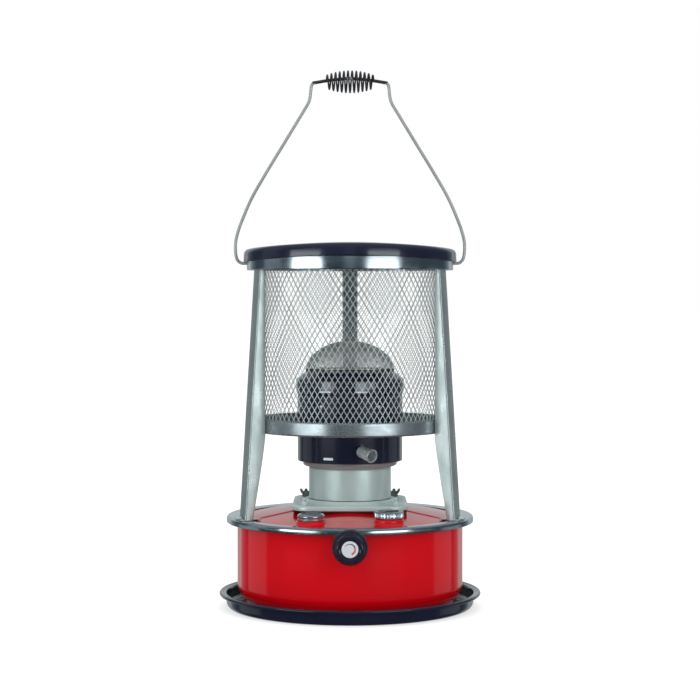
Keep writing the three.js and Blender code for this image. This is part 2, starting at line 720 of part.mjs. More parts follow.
function fillerCap() {
  const { radius, lowZ, highZ, flutes, plugR } = CAP;
  const rim = slab(fluted(radius, 0.9, flutes), lowZ, highZ - lowZ);
  const dish = rod(radius - 3.4, highZ - 2, highZ + 1, 24);
  return join(cut(rim, dish), rod(plugR - 1, lowZ - 8, lowZ + 1, 20));
}

add('filler_cap', fillerCap(), 'bright', filler);
const sealZ = [FITTING.fillerZ - 2.6, FITTING.fillerZ - 0.2];
add('cap_gasket', tube(CAP.plugR - 0.6, FITTING.boreR - 0.3, ...sealZ, 20), 'gasket', filler);

// ---------- bail ----------

function bailWire() {
  const half = [
    [121.9, 421.5], [122.3, 425], [124.4, 427], [131, 427], [135.6, 427.6], [139.6, 431], [141.6, 437],
    [142, 452.5], [139, 466], [133.6, 481], [122, 507.5], [107, 534], [82, 575], [57, 616],
    [50.4, 624.6], [48, 632], [47.7, 644.5], [46, 650], [42, 652], [20, 655.2], [0, GRIP.topZ],
  ];
  const left = half.map(([x, z]) => new THREE.Vector3(-x, 0, z));
  const right = half.slice(0, -1).reverse().map(([x, z]) => new THREE.Vector3(x, 0, z));
  const path = new THREE.CatmullRomCurve3([...left, ...right], false, 'centripetal');
  const section = new THREE.Shape().absarc(0, 0, BAIL.wireR, 0, 2 * Math.PI);
  const options = { steps: BAIL.steps, curveSegments: 3, extrudePath: path };
  return tidy(new THREE.ExtrudeGeometry(section, options));
}

function grip() {
  const { half, middleR, endR, wall } = GRIP;
  const radiusAt = (x) => endR + (middleR - endR) * Math.cos((x / half) * (Math.PI / 2));
  const stations = [-1, -0.7, -0.35, 0, 0.35, 0.7, 1].map((s) => s * half);
  const outer = stations.map((x) => [radiusAt(x), x]);
  const inner = stations.map((x) => [radiusAt(x) - wall, x]).reverse();
  return turned([...outer, ...inner], 12, true).rotateY(Math.PI / 2);
}

add('bail_wire', bailWire(), 'satin');
add('bail_grip', grip(), 'gasket').position.z = GRIP.topZ - GRIP.dropZ;

export default group;
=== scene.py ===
"""Looks of the portable round wick heater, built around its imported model.

Lengths are in millimetres up to the moment a mesh is made, and metres after that.
"""

import math

import bmesh
import bpy
from mathutils import Euler, Matrix, Vector


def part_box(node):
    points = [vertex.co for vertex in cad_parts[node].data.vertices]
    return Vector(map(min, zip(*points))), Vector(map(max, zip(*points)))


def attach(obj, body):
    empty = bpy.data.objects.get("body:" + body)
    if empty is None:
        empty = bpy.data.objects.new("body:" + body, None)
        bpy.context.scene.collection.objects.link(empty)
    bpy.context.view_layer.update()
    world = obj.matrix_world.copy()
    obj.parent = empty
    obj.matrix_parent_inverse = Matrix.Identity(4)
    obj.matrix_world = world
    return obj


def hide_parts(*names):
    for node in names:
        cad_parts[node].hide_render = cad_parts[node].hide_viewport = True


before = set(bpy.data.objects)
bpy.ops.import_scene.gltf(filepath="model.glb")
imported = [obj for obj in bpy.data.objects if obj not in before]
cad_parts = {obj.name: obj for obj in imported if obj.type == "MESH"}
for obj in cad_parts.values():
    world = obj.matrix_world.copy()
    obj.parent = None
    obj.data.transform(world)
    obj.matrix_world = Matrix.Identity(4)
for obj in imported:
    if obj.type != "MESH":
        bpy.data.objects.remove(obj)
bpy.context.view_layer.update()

MM = 0.001
GAP = 0.3
SHEET = 1.2
ROUND = 160
TURN = 2 * math.pi


# ---------- reading the imported model ---

def corners(name):
    """The lowest and highest corner of a CAD node's box, in mm."""
    return [[value / MM for value in corner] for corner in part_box(name)]


def levels(name):
    """The lowest and highest z of a CAD node, in mm."""
    low, high = corners(name)
    return low[2], high[2]


def extent(name):
    """(outer radius, lowest z, highest z) in mm of a CAD node that stands on the main axis."""
    low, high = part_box(name)
    return max(high[0], -low[0]) / MM, *levels(name)


def half_width(name):
    low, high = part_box(name)
    return (high[0] - low[0]) / 2 / MM


def centre(name):
    """Middle of a CAD node's box, in mm."""
    low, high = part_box(name)
    return [(a + b) / 2 / MM for a, b in zip(low, high)]


# ---------- mesh making ----------

def object_from(name, work, mesh=None, sharp=35):
    """Turns a bmesh into an object of the scene."""
    mesh = mesh or bpy.data.meshes.new(name)
    work.to_mesh(mesh)
    work.free()
    smooth(mesh, sharp)
    piece = bpy.data.objects.new(name, mesh)
    bpy.context.scene.collection.objects.link(piece)
    return piece


def mesh_object(name, verts, faces, sharp=35):
    mesh = bpy.data.meshes.new(name)
    mesh.from_pydata([(x * MM, y * MM, z * MM) for x, y, z in verts], [], faces)
    work = bmesh.new()
    work.from_mesh(mesh)
    bmesh.ops.remove_doubles(work, verts=work.verts, dist=1e-7)
    bmesh.ops.recalc_face_normals(work, faces=work.faces)
    return object_from(name, work, mesh, sharp)


def smooth(mesh, sharp=35):
    mesh.polygons.foreach_set("use_smooth", [True] * len(mesh.polygons))
    mesh.set_sharp_from_angle(angle=math.radians(sharp))


def rounded(points, closed=False, steps=5):
    """An outline of (a, b[, fillet]) points with its corners rounded."""
    out = []
    count = len(points)
    for i, point in enumerate(points):
        at = Vector(point[:2])
        fillet = point[2] if len(point) > 2 else 0
        if not fillet or (not closed and i in (0, count - 1)):
            out.append(tuple(at))
            continue
        before = Vector(points[i - 1][:2]) - at
        after = Vector(points[(i + 1) % count][:2]) - at
        a = at + before.normalized() * min(fillet, before.length * 0.49)
        b = at + after.normalized() * min(fillet, after.length * 0.49)
        for k in range(steps + 1):
            t = k / steps
            out.append(tuple(a * (1 - t) ** 2 + at * (2 * t * (1 - t)) + b * t * t))
    return out


def arc(x, z, radius, start, end, steps=10):
    """Points on a circle, angles in degrees."""
    angles = [math.radians(start + (end - start) * i / steps) for i in range(steps + 1)]
    return [(x + radius * math.cos(a), z + radius * math.sin(a)) for a in angles]


def skin(rows, closed_rows):
    """Quads between rounds of equal length."""
    faces = []
    count = len(rows[0])
    last = len(rows) if closed_rows else len(rows) - 1
    for i in range(last):
        a, b = rows[i], rows[(i + 1) % len(rows)]
        for k in range(count):
            quad = [a[k], a[(k + 1) % count], b[(k + 1) % count], b[k]]
            corner = [v for j, v in enumerate(quad) if v != quad[j - 1]]
            if len(corner) > 2:
                faces.append(corner)
    return faces


def wavy_ring(radius, z, sides, swell=lambda k: 0):
    """A round of points. swell is what a number of the round adds to its radius."""
    out = []
    for k in range(sides):
        r = radius + swell(k)
        out.append((r * math.cos(TURN * k / sides), r * math.sin(TURN * k / sides), z))
    return out


def revolve(name, profile, closed=False, sides=ROUND, sharp=35):
    """A turned body about Z from (r, z) points in mm."""
    verts, rows = [], []
    for r, z in profile:
        if r < 1e-4:
            verts.append((0, 0, z))
            rows.append([len(verts) - 1] * sides)
            continue
        rows.append(list(range(len(verts), len(verts) + sides)))
        verts += wavy_ring(r, z, sides)
    return mesh_object(name, verts, skin(rows, closed), sharp)


def loft(name, rings, caps=True, closed=False, sharp=35):
    """A body through rings of equal numbers of (x, y, z) points."""
    verts, rows = [], []
    for ring in rings:
        rows.append(list(range(len(verts), len(verts) + len(ring))))
        verts += ring
    faces = skin(rows, closed)
    if caps and not closed:
        faces += [rows[0][::-1], rows[-1]]
    return mesh_object(name, verts, faces, sharp)


def sweep(name, path, radius, sides):
    """A round bar along a list of points."""
    points = [Vector(p) for p in path]
    count = len(points)
    normal = None
    rings = []
    for i, point in enumerate(points):
        ahead = points[min(i + 1, count - 1)]
        behind = points[max(i - 1, 0)]
        tangent = (ahead - behind).normalized()
        if normal is None:
            normal = tangent.orthogonal().normalized()
        normal = (normal - tangent * normal.dot(tangent)).normalized()
        side = tangent.cross(normal)
        rings.append([
            tuple(point + (normal * math.cos(a) + side * math.sin(a)) * radius)
            for a in (TURN * k / sides for k in range(sides))
        ])
    return loft(name, rings, sharp=60)


def between(p, q, start, end, t):
    return p * ((end - t) / (end - start)) + q * ((t - start) / (end - start))


def curve_points(points, steps):
    """A smooth centripetal curve through points."""
    pts = [Vector(p) for p in points]
    pts = [pts[0] * 2 - pts[1]] + pts + [pts[-1] * 2 - pts[-2]]
    out = []
    for i in range(1, len(pts) - 2):
        p0, p1, p2, p3 = pts[i - 1:i + 3]
        t0 = 0
        t1 = t0 + (p1 - p0).length ** 0.5
        t2 = t1 + (p2 - p1).length ** 0.5
        t3 = t2 + (p3 - p2).length ** 0.5
        for k in range(steps):
            t = t1 + (t2 - t1) * k / steps
            a1 = between(p0, p1, t0, t1, t)
            a2 = between(p1, p2, t1, t2, t)
            a3 = between(p2, p3, t2, t3, t)
            b1, b2 = between(a1, a2, t0, t2, t), between(a2, a3, t1, t3, t)
            out.append(tuple(between(b1, b2, t1, t2, t)))
    out.append(tuple(pts[-2]))
    return out


def block(name, sizes, at, bevel=0.4):
    """A box with rounded edges, sizes and place in mm."""
    work = bmesh.new()
    bmesh.ops.create_cube(work, size=1)
    bmesh.ops.scale(work, vec=[s * MM for s in sizes], verts=work.verts)
    bmesh.ops.bevel(work, geom=list(work.edges), offset=bevel * MM, segments=3, affect="EDGES")
    bmesh.ops.translate(work, vec=[c * MM for c in at], verts=work.verts)
    return object_from(name, work)


def move(piece, at=(0, 0, 0), turn=(0, 0, 0)):
    """Moves the mesh itself: turn in degrees first, then shift in mm."""
    rotation = Euler([math.radians(a) for a in turn]).to_matrix().to_4x4()
    piece.data.transform(Matrix.Translation([c * MM for c in at]) @ rotation)
    return piece


def spun(name, points, sides=ROUND, steps=5):
    """A turned body with a closed outline of (r, z[, fillet]) points."""
    return revolve(name, rounded(points, closed=True, steps=steps), closed=True, sides=sides)


def rod_cutter(radius, low, high, at, turn=(0, 0, 0), sides=32):
    """A round rod that stands between two heights, for carve()."""
    rod = revolve("hole", [(0, low), (radius, low), (radius, high), (0, high)], sides=sides)
    return move(rod, at, turn)


def fluting(sides, flutes, depth, power):
    """The swell of a round with evenly spaced grooves."""
    return lambda k: -(depth * (0.5 + 0.5 * math.cos(flutes * (TURN * k / sides))) ** power)


def carve(piece, cutters):
    """Cuts the cutters out of the piece for good."""
    for cutter in cutters:
        step = piece.modifiers.new("cut", "BOOLEAN")
        step.operation = "DIFFERENCE"
        step.solver = "EXACT"
        step.object = cutter
    seen = piece.evaluated_get(bpy.context.evaluated_depsgraph_get())
    mesh = bpy.data.meshes.new_from_object(seen)
    piece.modifiers.clear()
    piece.data = mesh
    smooth(mesh)
    for cutter in cutters:
        bpy.data.objects.remove(cutter)


def merge(name, pieces):
    """Joins pieces into one object."""
    work = bmesh.new()
    for piece in pieces:
        work.from_mesh(piece.data)
        bpy.data.objects.remove(piece)
    return object_from(name, work)


# ---------- materials ----------

def plug(tree, made, sockets):
    """Sets a node's sockets, each to a plain value or to another node's output."""
    for key, value in sockets.items():
        if isinstance(value, bpy.types.NodeSocket):
            tree.links.new(value, made.inputs[key])
        else:
            made.inputs[key].default_value = value


def node(tree, kind, sockets=None, **settings):
    made = tree.nodes.new("ShaderNode" + kind)
    for key, value in settings.items():
        setattr(made, key, value)
    plug(tree, made, sockets or {})
    return made


def noise(tree, stretch, detail, roughness):
    """Noise in object space. stretch is in cells per metre, one number or one for each axis."""
    if isinstance(stretch, int):
        stretch = (stretch,) * 3
    place = node(tree, "TexCoord").outputs["Object"]
    mapping = node(tree, "Mapping", {"Vector": place, "Scale": stretch})
    sockets = {"Scale": 1.0, "Detail": detail, "Roughness": roughness}
    return node(tree, "TexNoise", {"Vector": mapping.outputs["Vector"], **sockets}).outputs["Fac"]


def ranged(tree, value, low, high, source=(0.3, 0.7)):
    span = dict(zip(("From Min", "From Max", "To Min", "To Max"), (*source, low, high)))
    return node(tree, "MapRange", {"Value": value, **span}).outputs["Result"]


def blended(tree, factor, first, second):
    """A colour between two, each an output or an (r, g, b, 1) value."""
    sockets = {"Factor": factor, "A": first, "B": second}
    return node(tree, "Mix", sockets, data_type="RGBA").outputs["Result"]


COAT_ROUGHNESS = 0.03


def surface(
        name, colour, shade, patch, rough, grain=None, metallic=0.0, coat=0.0, alpha=1.0, painted_shade=None):
    """A procedural finish.

    patch is the stretch of the colour's noise, rough the roughness range, grain is
    (stretch, depth in mm) of the fine relief, and the last argument is (colour, lowest z, highest z
    in mm) of a painted shade, which turns the colour darker between those heights and fully above them.
    """
    made = bpy.data.materials.new(name)
    made.use_nodes = True
    tree = made.node_tree
    blotch = noise(tree, patch, 5.0, 0.6)
    tint = blended(tree, ranged(tree, blotch, 0, 1), (*colour, 1), (*shade, 1))
    if painted_shade:
        tint = paint_shade_above(tree, tint, *painted_shade)
    sockets = {
        "Base Color": tint, "Roughness": ranged(tree, blotch, *rough), "Metallic": metallic,
        "Coat Weight": coat, "Coat Roughness": COAT_ROUGHNESS, "Alpha": alpha,
    }
    if grain:
        stretch, depth = grain
        relief = noise(tree, stretch, 3.0, 0.55)
        bump = node(tree, "Bump", {"Distance": depth * MM, "Strength": 1.0, "Height": relief})
        sockets["Normal"] = bump.outputs["Normal"]
        if coat:
            sockets["Coat Normal"] = bump.outputs["Normal"]
    plug(tree, tree.nodes["Principled BSDF"], sockets)
    return made


def paint_shade_above(tree, tint, colour, shade_start_z, shade_full_z):
    """Painted shade: blends a colour towards a darker one between two heights, fully so above the upper
    one.
    """
    place = node(tree, "TexCoord").outputs["Object"]
    height = node(tree, "SeparateXYZ", {"Vector": place}).outputs["Z"]
    return blended(tree, ranged(tree, height, 0, 1, (shade_start_z * MM, shade_full_z * MM)), tint, (*colour, 1))


RED_ENAMEL = surface(
    "red_enamel", (0.42, 0.0009, 0.0042), (0.37, 0.0008, 0.0036), 9, (0.08, 0.14),
    (160, 0.008), coat=0.5)
BLACK_ENAMEL = surface(
    "black_enamel", (0.005, 0.006, 0.016), (0.007, 0.008, 0.022), 14, (0.14, 0.26),
    (190, 0.014), coat=0.8)
BRIGHT_PLATE = surface(
    "bright_plate", (0.72, 0.77, 0.80), (0.60, 0.66, 0.70), (20, 20, 60), (0.12, 0.22),
    metallic=1.0)
# A darker, rougher copy of the bright plate for the guard's lower ring; its darker colour is painted
# shade that dims the softbox's reflection there.
SHADED_LOWER_PLATE = surface(
    "shaded_lower_plate", (0.62, 0.68, 0.70), (0.50, 0.56, 0.58), (40, 40, 90), (0.24, 0.34), metallic=0.95)
GALVANISED = surface(
    "galvanised", (0.58, 0.63, 0.61), (0.40, 0.46, 0.46), (60, 60, 20), (0.24, 0.34), metallic=0.84)
ZINC_PLATE = surface(
    "zinc_plate", (0.56, 0.67, 0.65), (0.46, 0.56, 0.54), (30, 30, 18), (0.30, 0.42),
    ((500, 500, 60), 0.004), metallic=0.5)
GUARD_WIRE = surface(
    "guard_wire", (0.44, 0.50, 0.50), (0.32, 0.37, 0.37), 160, (0.26, 0.38), metallic=0.45)
# A darker copy of the zinc plate for the rear wing nuts and studs: painted shade.
SHADED_REAR_ZINC = surface(
    "nut_zinc", (0.24, 0.27, 0.26), (0.15, 0.17, 0.17), 200, (0.28, 0.42), metallic=0.7)
# The collar's flare gets a painted shade above 171.5 mm, a darker brownish grey for the shade under the
# rim of the chimney's shroud.
COLLAR_ZINC = surface(
    "collar_zinc", (0.52, 0.62, 0.60), (0.42, 0.52, 0.50), (40, 40, 14), (0.28, 0.42),
    ((500, 500, 60), 0.003), metallic=0.5, painted_shade=((0.28, 0.26, 0.255), 171.5, 177.5))
HANDLE_STEEL = surface(
    "handle_steel", (0.70, 0.74, 0.74), (0.52, 0.56, 0.57), 60, (0.22, 0.34), metallic=0.8)
BRASS = surface(
    "brass_parts", (0.56, 0.41, 0.17), (0.42, 0.30, 0.13), 40, (0.25, 0.4),
    ((300, 300, 900), 0.006), metallic=1.0)
HEAT_STEEL = surface(
    "heat_steel", (0.26, 0.22, 0.19), (0.12, 0.11, 0.13), 25, (0.35, 0.55),
    (400, 0.01), metallic=1.0)
GAUZE_WIRE = surface(
    "gauze", (0.56, 0.60, 0.60), (0.40, 0.43, 0.43), 60, (0.35, 0.5), metallic=0.5)
WICK_COTTON = surface(
    "wick_cotton", (0.68, 0.62, 0.50), (0.50, 0.44, 0.34), (700, 700, 1400), (0.85, 1.0),
    (900, 0.25))
GASKET = surface(
    "gasket_rubber", (0.016, 0.014, 0.012), (0.03, 0.027, 0.022), 400, (0.7, 0.9),
    (900, 0.05))
KNOB_PLASTIC = surface(
    "knob_plastic", (0.006, 0.007, 0.014), (0.009, 0.010, 0.018), 120, (0.08, 0.18))
DIAL_PALE = surface(
    "dial_pale", (0.38, 0.40, 0.43), (0.34, 0.36, 0.39), 200, (0.35, 0.5),
    (1500, 0.004))
MARK_RED = surface(
    "mark_red", (0.40, 0.10, 0.03), (0.30, 0.06, 0.02), 400, (0.4, 0.5),
    (1500, 0.004))
MARK_DARK = surface(
    "mark_dark", (0.02, 0.02, 0.03), (0.05, 0.04, 0.05), 400, (0.4, 0.5),
    (1500, 0.004))
MICA = surface(
    "mica", (0.30, 0.34, 0.36), (0.15, 0.18, 0.20), 80, (0.06, 0.16),
    (120, 0.05), alpha=0.75)
LENS = surface(
    "gauge_lens", (0.85, 0.9, 0.88), (0.8, 0.85, 0.83), 30, (0.03, 0.06),
    (60, 0.01), coat=0.5, alpha=0.25)
BAIL_STEEL = surface(
    "bail_steel", (0.40, 0.42, 0.42), (0.32, 0.34, 0.34), (30, 30, 12), (0.26, 0.34), metallic=0.5)
GRIP_WIRE = surface(
    "grip_wire", (0.012, 0.012, 0.014), (0.022, 0.022, 0.026), 300, (0.25, 0.45),
    (900, 0.01), coat=0.4)


def finish(piece, body, slot, material, *nodes):
    """Gives a piece its finish and its body, and hides the CAD nodes that it stands for."""
    piece.data.materials.clear()
    piece.data.materials.append(material)
    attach(piece, body)
    if nodes:
        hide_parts(*nodes)


# ---------- drip tray and tank ----------

TRAY_R, TRAY_LOW, TRAY_TOP = extent("drip_tray")
TRAY_WALL_R = TRAY_R - 7.8
TRAY_FLOOR_R = TRAY_WALL_R - 9.5
BEAD_R = 2.1


def drip_tray():
    bead = arc(TRAY_R - BEAD_R, TRAY_TOP - BEAD_R, BEAD_R, -150, 130, 14)
    profile = [
        (0, TRAY_LOW), *rounded([
            (TRAY_FLOOR_R - 12, TRAY_LOW), (TRAY_WALL_R - 1.6, TRAY_LOW, 9),
            (TRAY_WALL_R, TRAY_TOP - 4.8, 2), (TRAY_R - 2 * BEAD_R, TRAY_TOP - 3.4),
        ], steps=8),
        *bead,
        *rounded([
            (TRAY_WALL_R - 0.6, TRAY_TOP - 1.4), (TRAY_WALL_R - 1.4, TRAY_TOP - 4, 1),
            (TRAY_WALL_R - 2.8, TRAY_LOW + SHEET, 8), (TRAY_FLOOR_R - 12, TRAY_LOW + SHEET),
        ], steps=8),
        (60, TRAY_LOW + SHEET), (0, TRAY_LOW + SHEET),
    ]
    tray = revolve("tray_pan", profile)
    finish(tray, "tray", "black_enamel", BLACK_ENAMEL, "drip_tray")


TANK_FLANGE_R, TANK_LOW, TANK_TOP = extent("tank_shell")
TANK_R = 140.2
TANK_CORNER = 30
BUSH_HOLE_R = 4.7
DRAFT_R, _, DRAFT_TOP = extent("draft_tube")


def tank_shell():
    corner_r = TANK_R - TANK_CORNER
    corner_z = TANK_LOW + TANK_CORNER
    hole = DRAFT_R + GAP
    profile = [
        (hole, TANK_LOW), (corner_r - 30, TANK_LOW), *arc(corner_r, corner_z, TANK_CORNER, -90, 0, 24),
        *rounded([(TANK_R, 80), (TANK_R, TANK_TOP - SHEET, 0.8), (TANK_FLANGE_R, TANK_TOP - SHEET)]),
        (TANK_FLANGE_R, TANK_TOP),
        (TANK_R - SHEET, TANK_TOP), *arc(corner_r, corner_z, TANK_CORNER - SHEET, 0, -90, 16),
        (hole, TANK_LOW + SHEET),
    ]
    shell = revolve("tank_body", profile, closed=True)
    carve(shell, [rod_cutter(BUSH_HOLE_R, 120, 160, (0, 0, centre("shaft_sleeve")[2]), (90, 0, 0))])
    finish(shell, "heater", "red_enamel", RED_ENAMEL, "tank_shell")


GAUGE_X, GAUGE_Y, _ = centre("gauge_bezel")
CAP_X, CAP_Y, _ = centre("filler_cap")
LEG_AZIMUTH = 64
BOSS_R = 18
NECK_BORE_R = 13
GAUGE_SEAT = levels("gauge_bezel")[0] - GAP
CAP_SEAT = 121.7


def panel_height(r, angle):
    """Top of the tank's panel. angle is in degrees from the front, whose sector lies a little lower."""
    outer_r, step_r, seat_r = 135, 72, 68
    outer_z, step_z, seat_z = 112.9, 122.6, 124.0
    if r > outer_r:
        return outer_z
    if r > step_r:
        z = outer_z + (step_z - outer_z) * (outer_r - r) / (outer_r - step_r)
    else:
        z = step_z + (seat_z - step_z) * min(1, (step_r - r) / (step_r - seat_r))
    edge = (abs(angle) - LEG_AZIMUTH) * math.radians(1) * r
    raised = 0.5 + 0.5 * math.tanh((edge - 1.2) / 1.3)
    span = min(1, (outer_r - r) / 22) * min(1, max(0, (r - 66) / 10))
    return z + 1.3 * raised * span


def tank_panel():
    angles = {round(-180 + 1.5 * k, 3) for k in range(240)}
    for side in (-1, 1):
        angles |= {round(side * (LEG_AZIMUTH + 0.25 * k), 3) for k in range(-16, 17)}
    around = [(a, math.sin(math.radians(a)), -math.cos(math.radians(a))) for a in sorted(angles)]
    radii = [46, 50, 56, 62, 66, 67, 68, 69, 70, 71, 72, 73, 75, 77, 79]
    radii += [82 + 4 * k for k in range(13)] + [133, 134.5, 135.5, 137, 142, 148]
    rings = [[(r * x, r * y, panel_height(r, a)) for a, x, y in around] for r in radii]
    under = [[(x, y, z - SHEET) for x, y, z in ring] for ring in reversed(rings)]
    panel = loft("tank_panel", rings + under, closed=True, sharp=40)
    fittings = ((GAUGE_X, GAUGE_Y, GAUGE_SEAT), (CAP_X, CAP_Y, CAP_SEAT))
    carve(panel, [rod_cutter(NECK_BORE_R, 100, 140, (x, y, 0), sides=48) for x, y, _ in fittings])
    bosses = []
    for x, y, top in fittings:
        foot = panel_height(math.hypot(x, y), 0) - 1.5
        boss = spun("boss", [
            (BOSS_R + 5, foot - 1.6), (BOSS_R, foot + 1.2, 3.0), (BOSS_R - 0.4, top, 2.2),
            (NECK_BORE_R, top, 0.5), (NECK_BORE_R, foot - 3), (15, foot - 3),
        ], sides=96)
        bosses.append(move(boss, at=(x, y, 0)))
    top = merge("tank_crown", [panel, *bosses])
    finish(top, "heater", "red_enamel", RED_ENAMEL, "tank_top")


RING_R, RING_LOW, RING_TOP = extent("flange_ring")


def flange_ring():
    seat = RING_TOP - 1.8
    ring = spun("tank_trim_ring", [
        (136.5, seat), (RING_R - 3.4, seat), (RING_R - 1.9, seat - 1.6, 0.8),
        (RING_R - 1.9, RING_LOW + 1, 0.6), (RING_R - 1.2, RING_LOW, 0.5),
        (RING_R - 0.1, RING_LOW + 0.7, 0.5), (RING_R + 0.0, RING_LOW + 4.2, 1.5),
        (RING_R - 0.5, RING_TOP - 1.2, 1.5), (RING_R - 3.2, RING_TOP, 1.6),
        (RING_R - 6.2, RING_TOP - 0.7, 1.4), (138, seat + SHEET, 0.6),
        (136.5, seat + SHEET - 0.5, 0.3),
    ], sides=200, steps=6)
    finish(ring, "heater", "bright_plate", BRIGHT_PLATE, "flange_ring")


drip_tray()
tank_shell()
tank_panel()
flange_ring()


# ---------- guard ----------

BAND_R, BAND_LOW, BAND_TOP = extent("top_band")
LOWER_R, LOWER_LOW, LOWER_TOP = extent("lower_ring")
GUARD_NODES = sorted(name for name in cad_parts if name.startswith("guard_"))
GUARD_R = max(extent(name)[0] for name in GUARD_NODES)
GUARD_LOW, GUARD_TOP = extent(GUARD_NODES[0])[1:]
LID_R, LID_LOW, LID_TOP = extent("top_plate")
LEG_LOW, LEG_TOP = levels("leg_rear")
LEG_FOOT_OUT, LEG_HEAD_OUT = 145.5, 125.0
LEG_HALF = 9.8
FOOT_SCREW_OUT = 149.2


def leg_section(z):
    """The U section at a height: closed outline of (out, sideways) points."""
    t = (z - LEG_LOW) / (LEG_TOP - LEG_LOW)
    out = LEG_FOOT_OUT + (LEG_HEAD_OUT - LEG_FOOT_OUT) * t
    bend_z, wall = 216, 1.1
    inner = 119.0 + 16.5 * max(0, (bend_z - z) / (bend_z - LEG_LOW)) ** 1.15
    outline = [
        (inner, LEG_HALF, 0.3), (out, LEG_HALF, 2.2), (out, -LEG_HALF, 2.2),
        (inner, -LEG_HALF, 0.3), (inner, -LEG_HALF + wall, 0.3),
        (out - wall, -LEG_HALF + wall, 1.2), (out - wall, LEG_HALF - wall, 1.2),
        (inner, LEG_HALF - wall, 0.3),
    ]
    return rounded(outline, closed=True, steps=4)


def leg(side, azimuth):
    heights = [LEG_LOW + (LEG_TOP - LEG_LOW) * k / 60 for k in range(61)]
    rings = [[(x, y, z) for x, y in leg_section(z)] for z in heights]
    channel = loft("channel", rings)
    tab = block("tab", (28, 17.6, SHEET), (LEG_FOOT_OUT - 7, 0, LEG_LOW + SHEET / 2), 0.4)
    whole = merge(f"leg_channel_{side}", [channel, tab])
    move(whole, turn=(0, 0, azimuth - 90))
    finish(whole, "heater", "galvanised", GALVANISED, f"leg_{side}")
    head = rounded([
        (0, 119.4), (2.2, 119.2, 1), (3.5, 117.6, 0.8), (3.6, 116.8, 0.3), (1.7, 116.7),
        (1.7, 113.5), (0, 113.5),
    ])
    screw = revolve("screw", head, sides=40)
    slot = block("slot", (8, 0.8, 1.4), (0, 0, 119.4), 0.05)
    carve(screw, [slot])
    screw.name = f"foot_screw_{side}"
    move(screw, at=(FOOT_SCREW_OUT, 0, 0))
    move(screw, turn=(0, 0, azimuth - 90))
    finish(screw, "heater", "zinc_plate", ZINC_PLATE, f"leg_screw_{side}")


for side_name, side_azimuth in (("left", -LEG_AZIMUTH), ("right", LEG_AZIMUTH), ("rear", 180)):
    leg(side_name, side_azimuth)


def lower_ring():
    ring = spun("guard_lower_band", [
        (LOWER_R - 7.5, LOWER_LOW, 0.4), (LOWER_R - 0.6, LOWER_LOW, 1.0),
        (LOWER_R, LOWER_LOW + 1.4, 0.8), (LOWER_R - 0.1, LOWER_TOP - 1, 0.6),
        (LOWER_R - 0.9, LOWER_TOP, 0.4), (LOWER_R - 1.3, LOWER_TOP - 0.8, 0.3),
        (LOWER_R - 1.2, LOWER_LOW + 1.3, 0.8), (LOWER_R - 7.5, LOWER_LOW + 1.1, 0.4),
    ], sides=200)
    # The lower ring takes the darker copy of the bright plate: painted shade.
    finish(ring, "heater", "bright_plate", SHADED_LOWER_PLATE, "lower_ring")


def strand_faces(start, steps, sides):
    """The sides of a bar whose rounds of points are numbered from start."""
    faces = []
    for first in range(start, start + steps * sides, sides):
        for j in range(sides):
            a, b = first + j, first + (j + 1) % sides
            faces.append([a, b, b + sides, a + sides])
    return faces


CELLS_AROUND = 102
CELL_HEIGHT = 12.0
STRAND_WIDTH, STRAND_DEPTH = 0.92, 0.66


def guard_mesh():
    """Expanded metal: two crossing families of strands that zigzag from bond to bond."""
    mid_r = GUARD_R - 0.7
    half_cell = TURN / CELLS_AROUND / 2
    rows = int((GUARD_TOP - 2 - GUARD_LOW) / CELL_HEIGHT * 2)
    verts, faces = [], []
    for direction in (-1, 1):
        for k in range(CELLS_AROUND):
            start = len(verts)
            for i in range(rows + 1):
                angle = TURN * k / CELLS_AROUND + direction * i * half_cell
                z = GUARD_LOW + 0.5 + i * CELL_HEIGHT / 2
                out = Vector((math.cos(angle), math.sin(angle), 0))
                along = Vector((-math.sin(angle), math.cos(angle), 0)) * (direction * half_cell * mid_r)
                along = (along + Vector((0, 0, CELL_HEIGHT / 2))).normalized()
                across = along.cross(out).normalized()
                at = out * mid_r + Vector((0, 0, z))
                for a, b in ((-1, 0), (-0.5, -1), (0.5, -1), (1, 0), (0.5, 1), (-0.5, 1)):
                    wide, deep = a * STRAND_WIDTH / 2, b * STRAND_DEPTH / 2
                    verts.append(tuple(at + across * wide + out * deep))
            faces += strand_faces(start, rows, 6)
            faces.append([start + j for j in range(5, -1, -1)])
            faces.append([start + rows * 6 + j for j in range(6)])
    guard = mesh_object("guard_expanded_metal", verts, faces, sharp=50)
    finish(guard, "heater", "guard_wire", GUARD_WIRE, *GUARD_NODES)


BAIL_HOLE_Z, BAIL_HOLE_R = 427.0, 2.8
LID_EDGE = 14.0
LID_BOW = 6.0


def top_band():
    band = spun("guard_top_band", [
        (BAND_R - 1.3, BAND_LOW, 0.3), (BAND_R - 0.4, BAND_LOW, 0.4),
        (BAND_R, BAND_LOW + 0.8, 0.4), (BAND_R, BAND_TOP, 0.8), (119, BAND_TOP, 0.3),
        (119, BAND_TOP - 1), (BAND_R - 1.1, BAND_TOP - 1, 0.5),
    ], sides=240)
    carve(band, [rod_cutter(BAIL_HOLE_R, -150, 150, (0, 0, BAIL_HOLE_Z), (0, 90, 0))])
    finish(band, "heater", "bright_plate", BRIGHT_PLATE, "top_band")


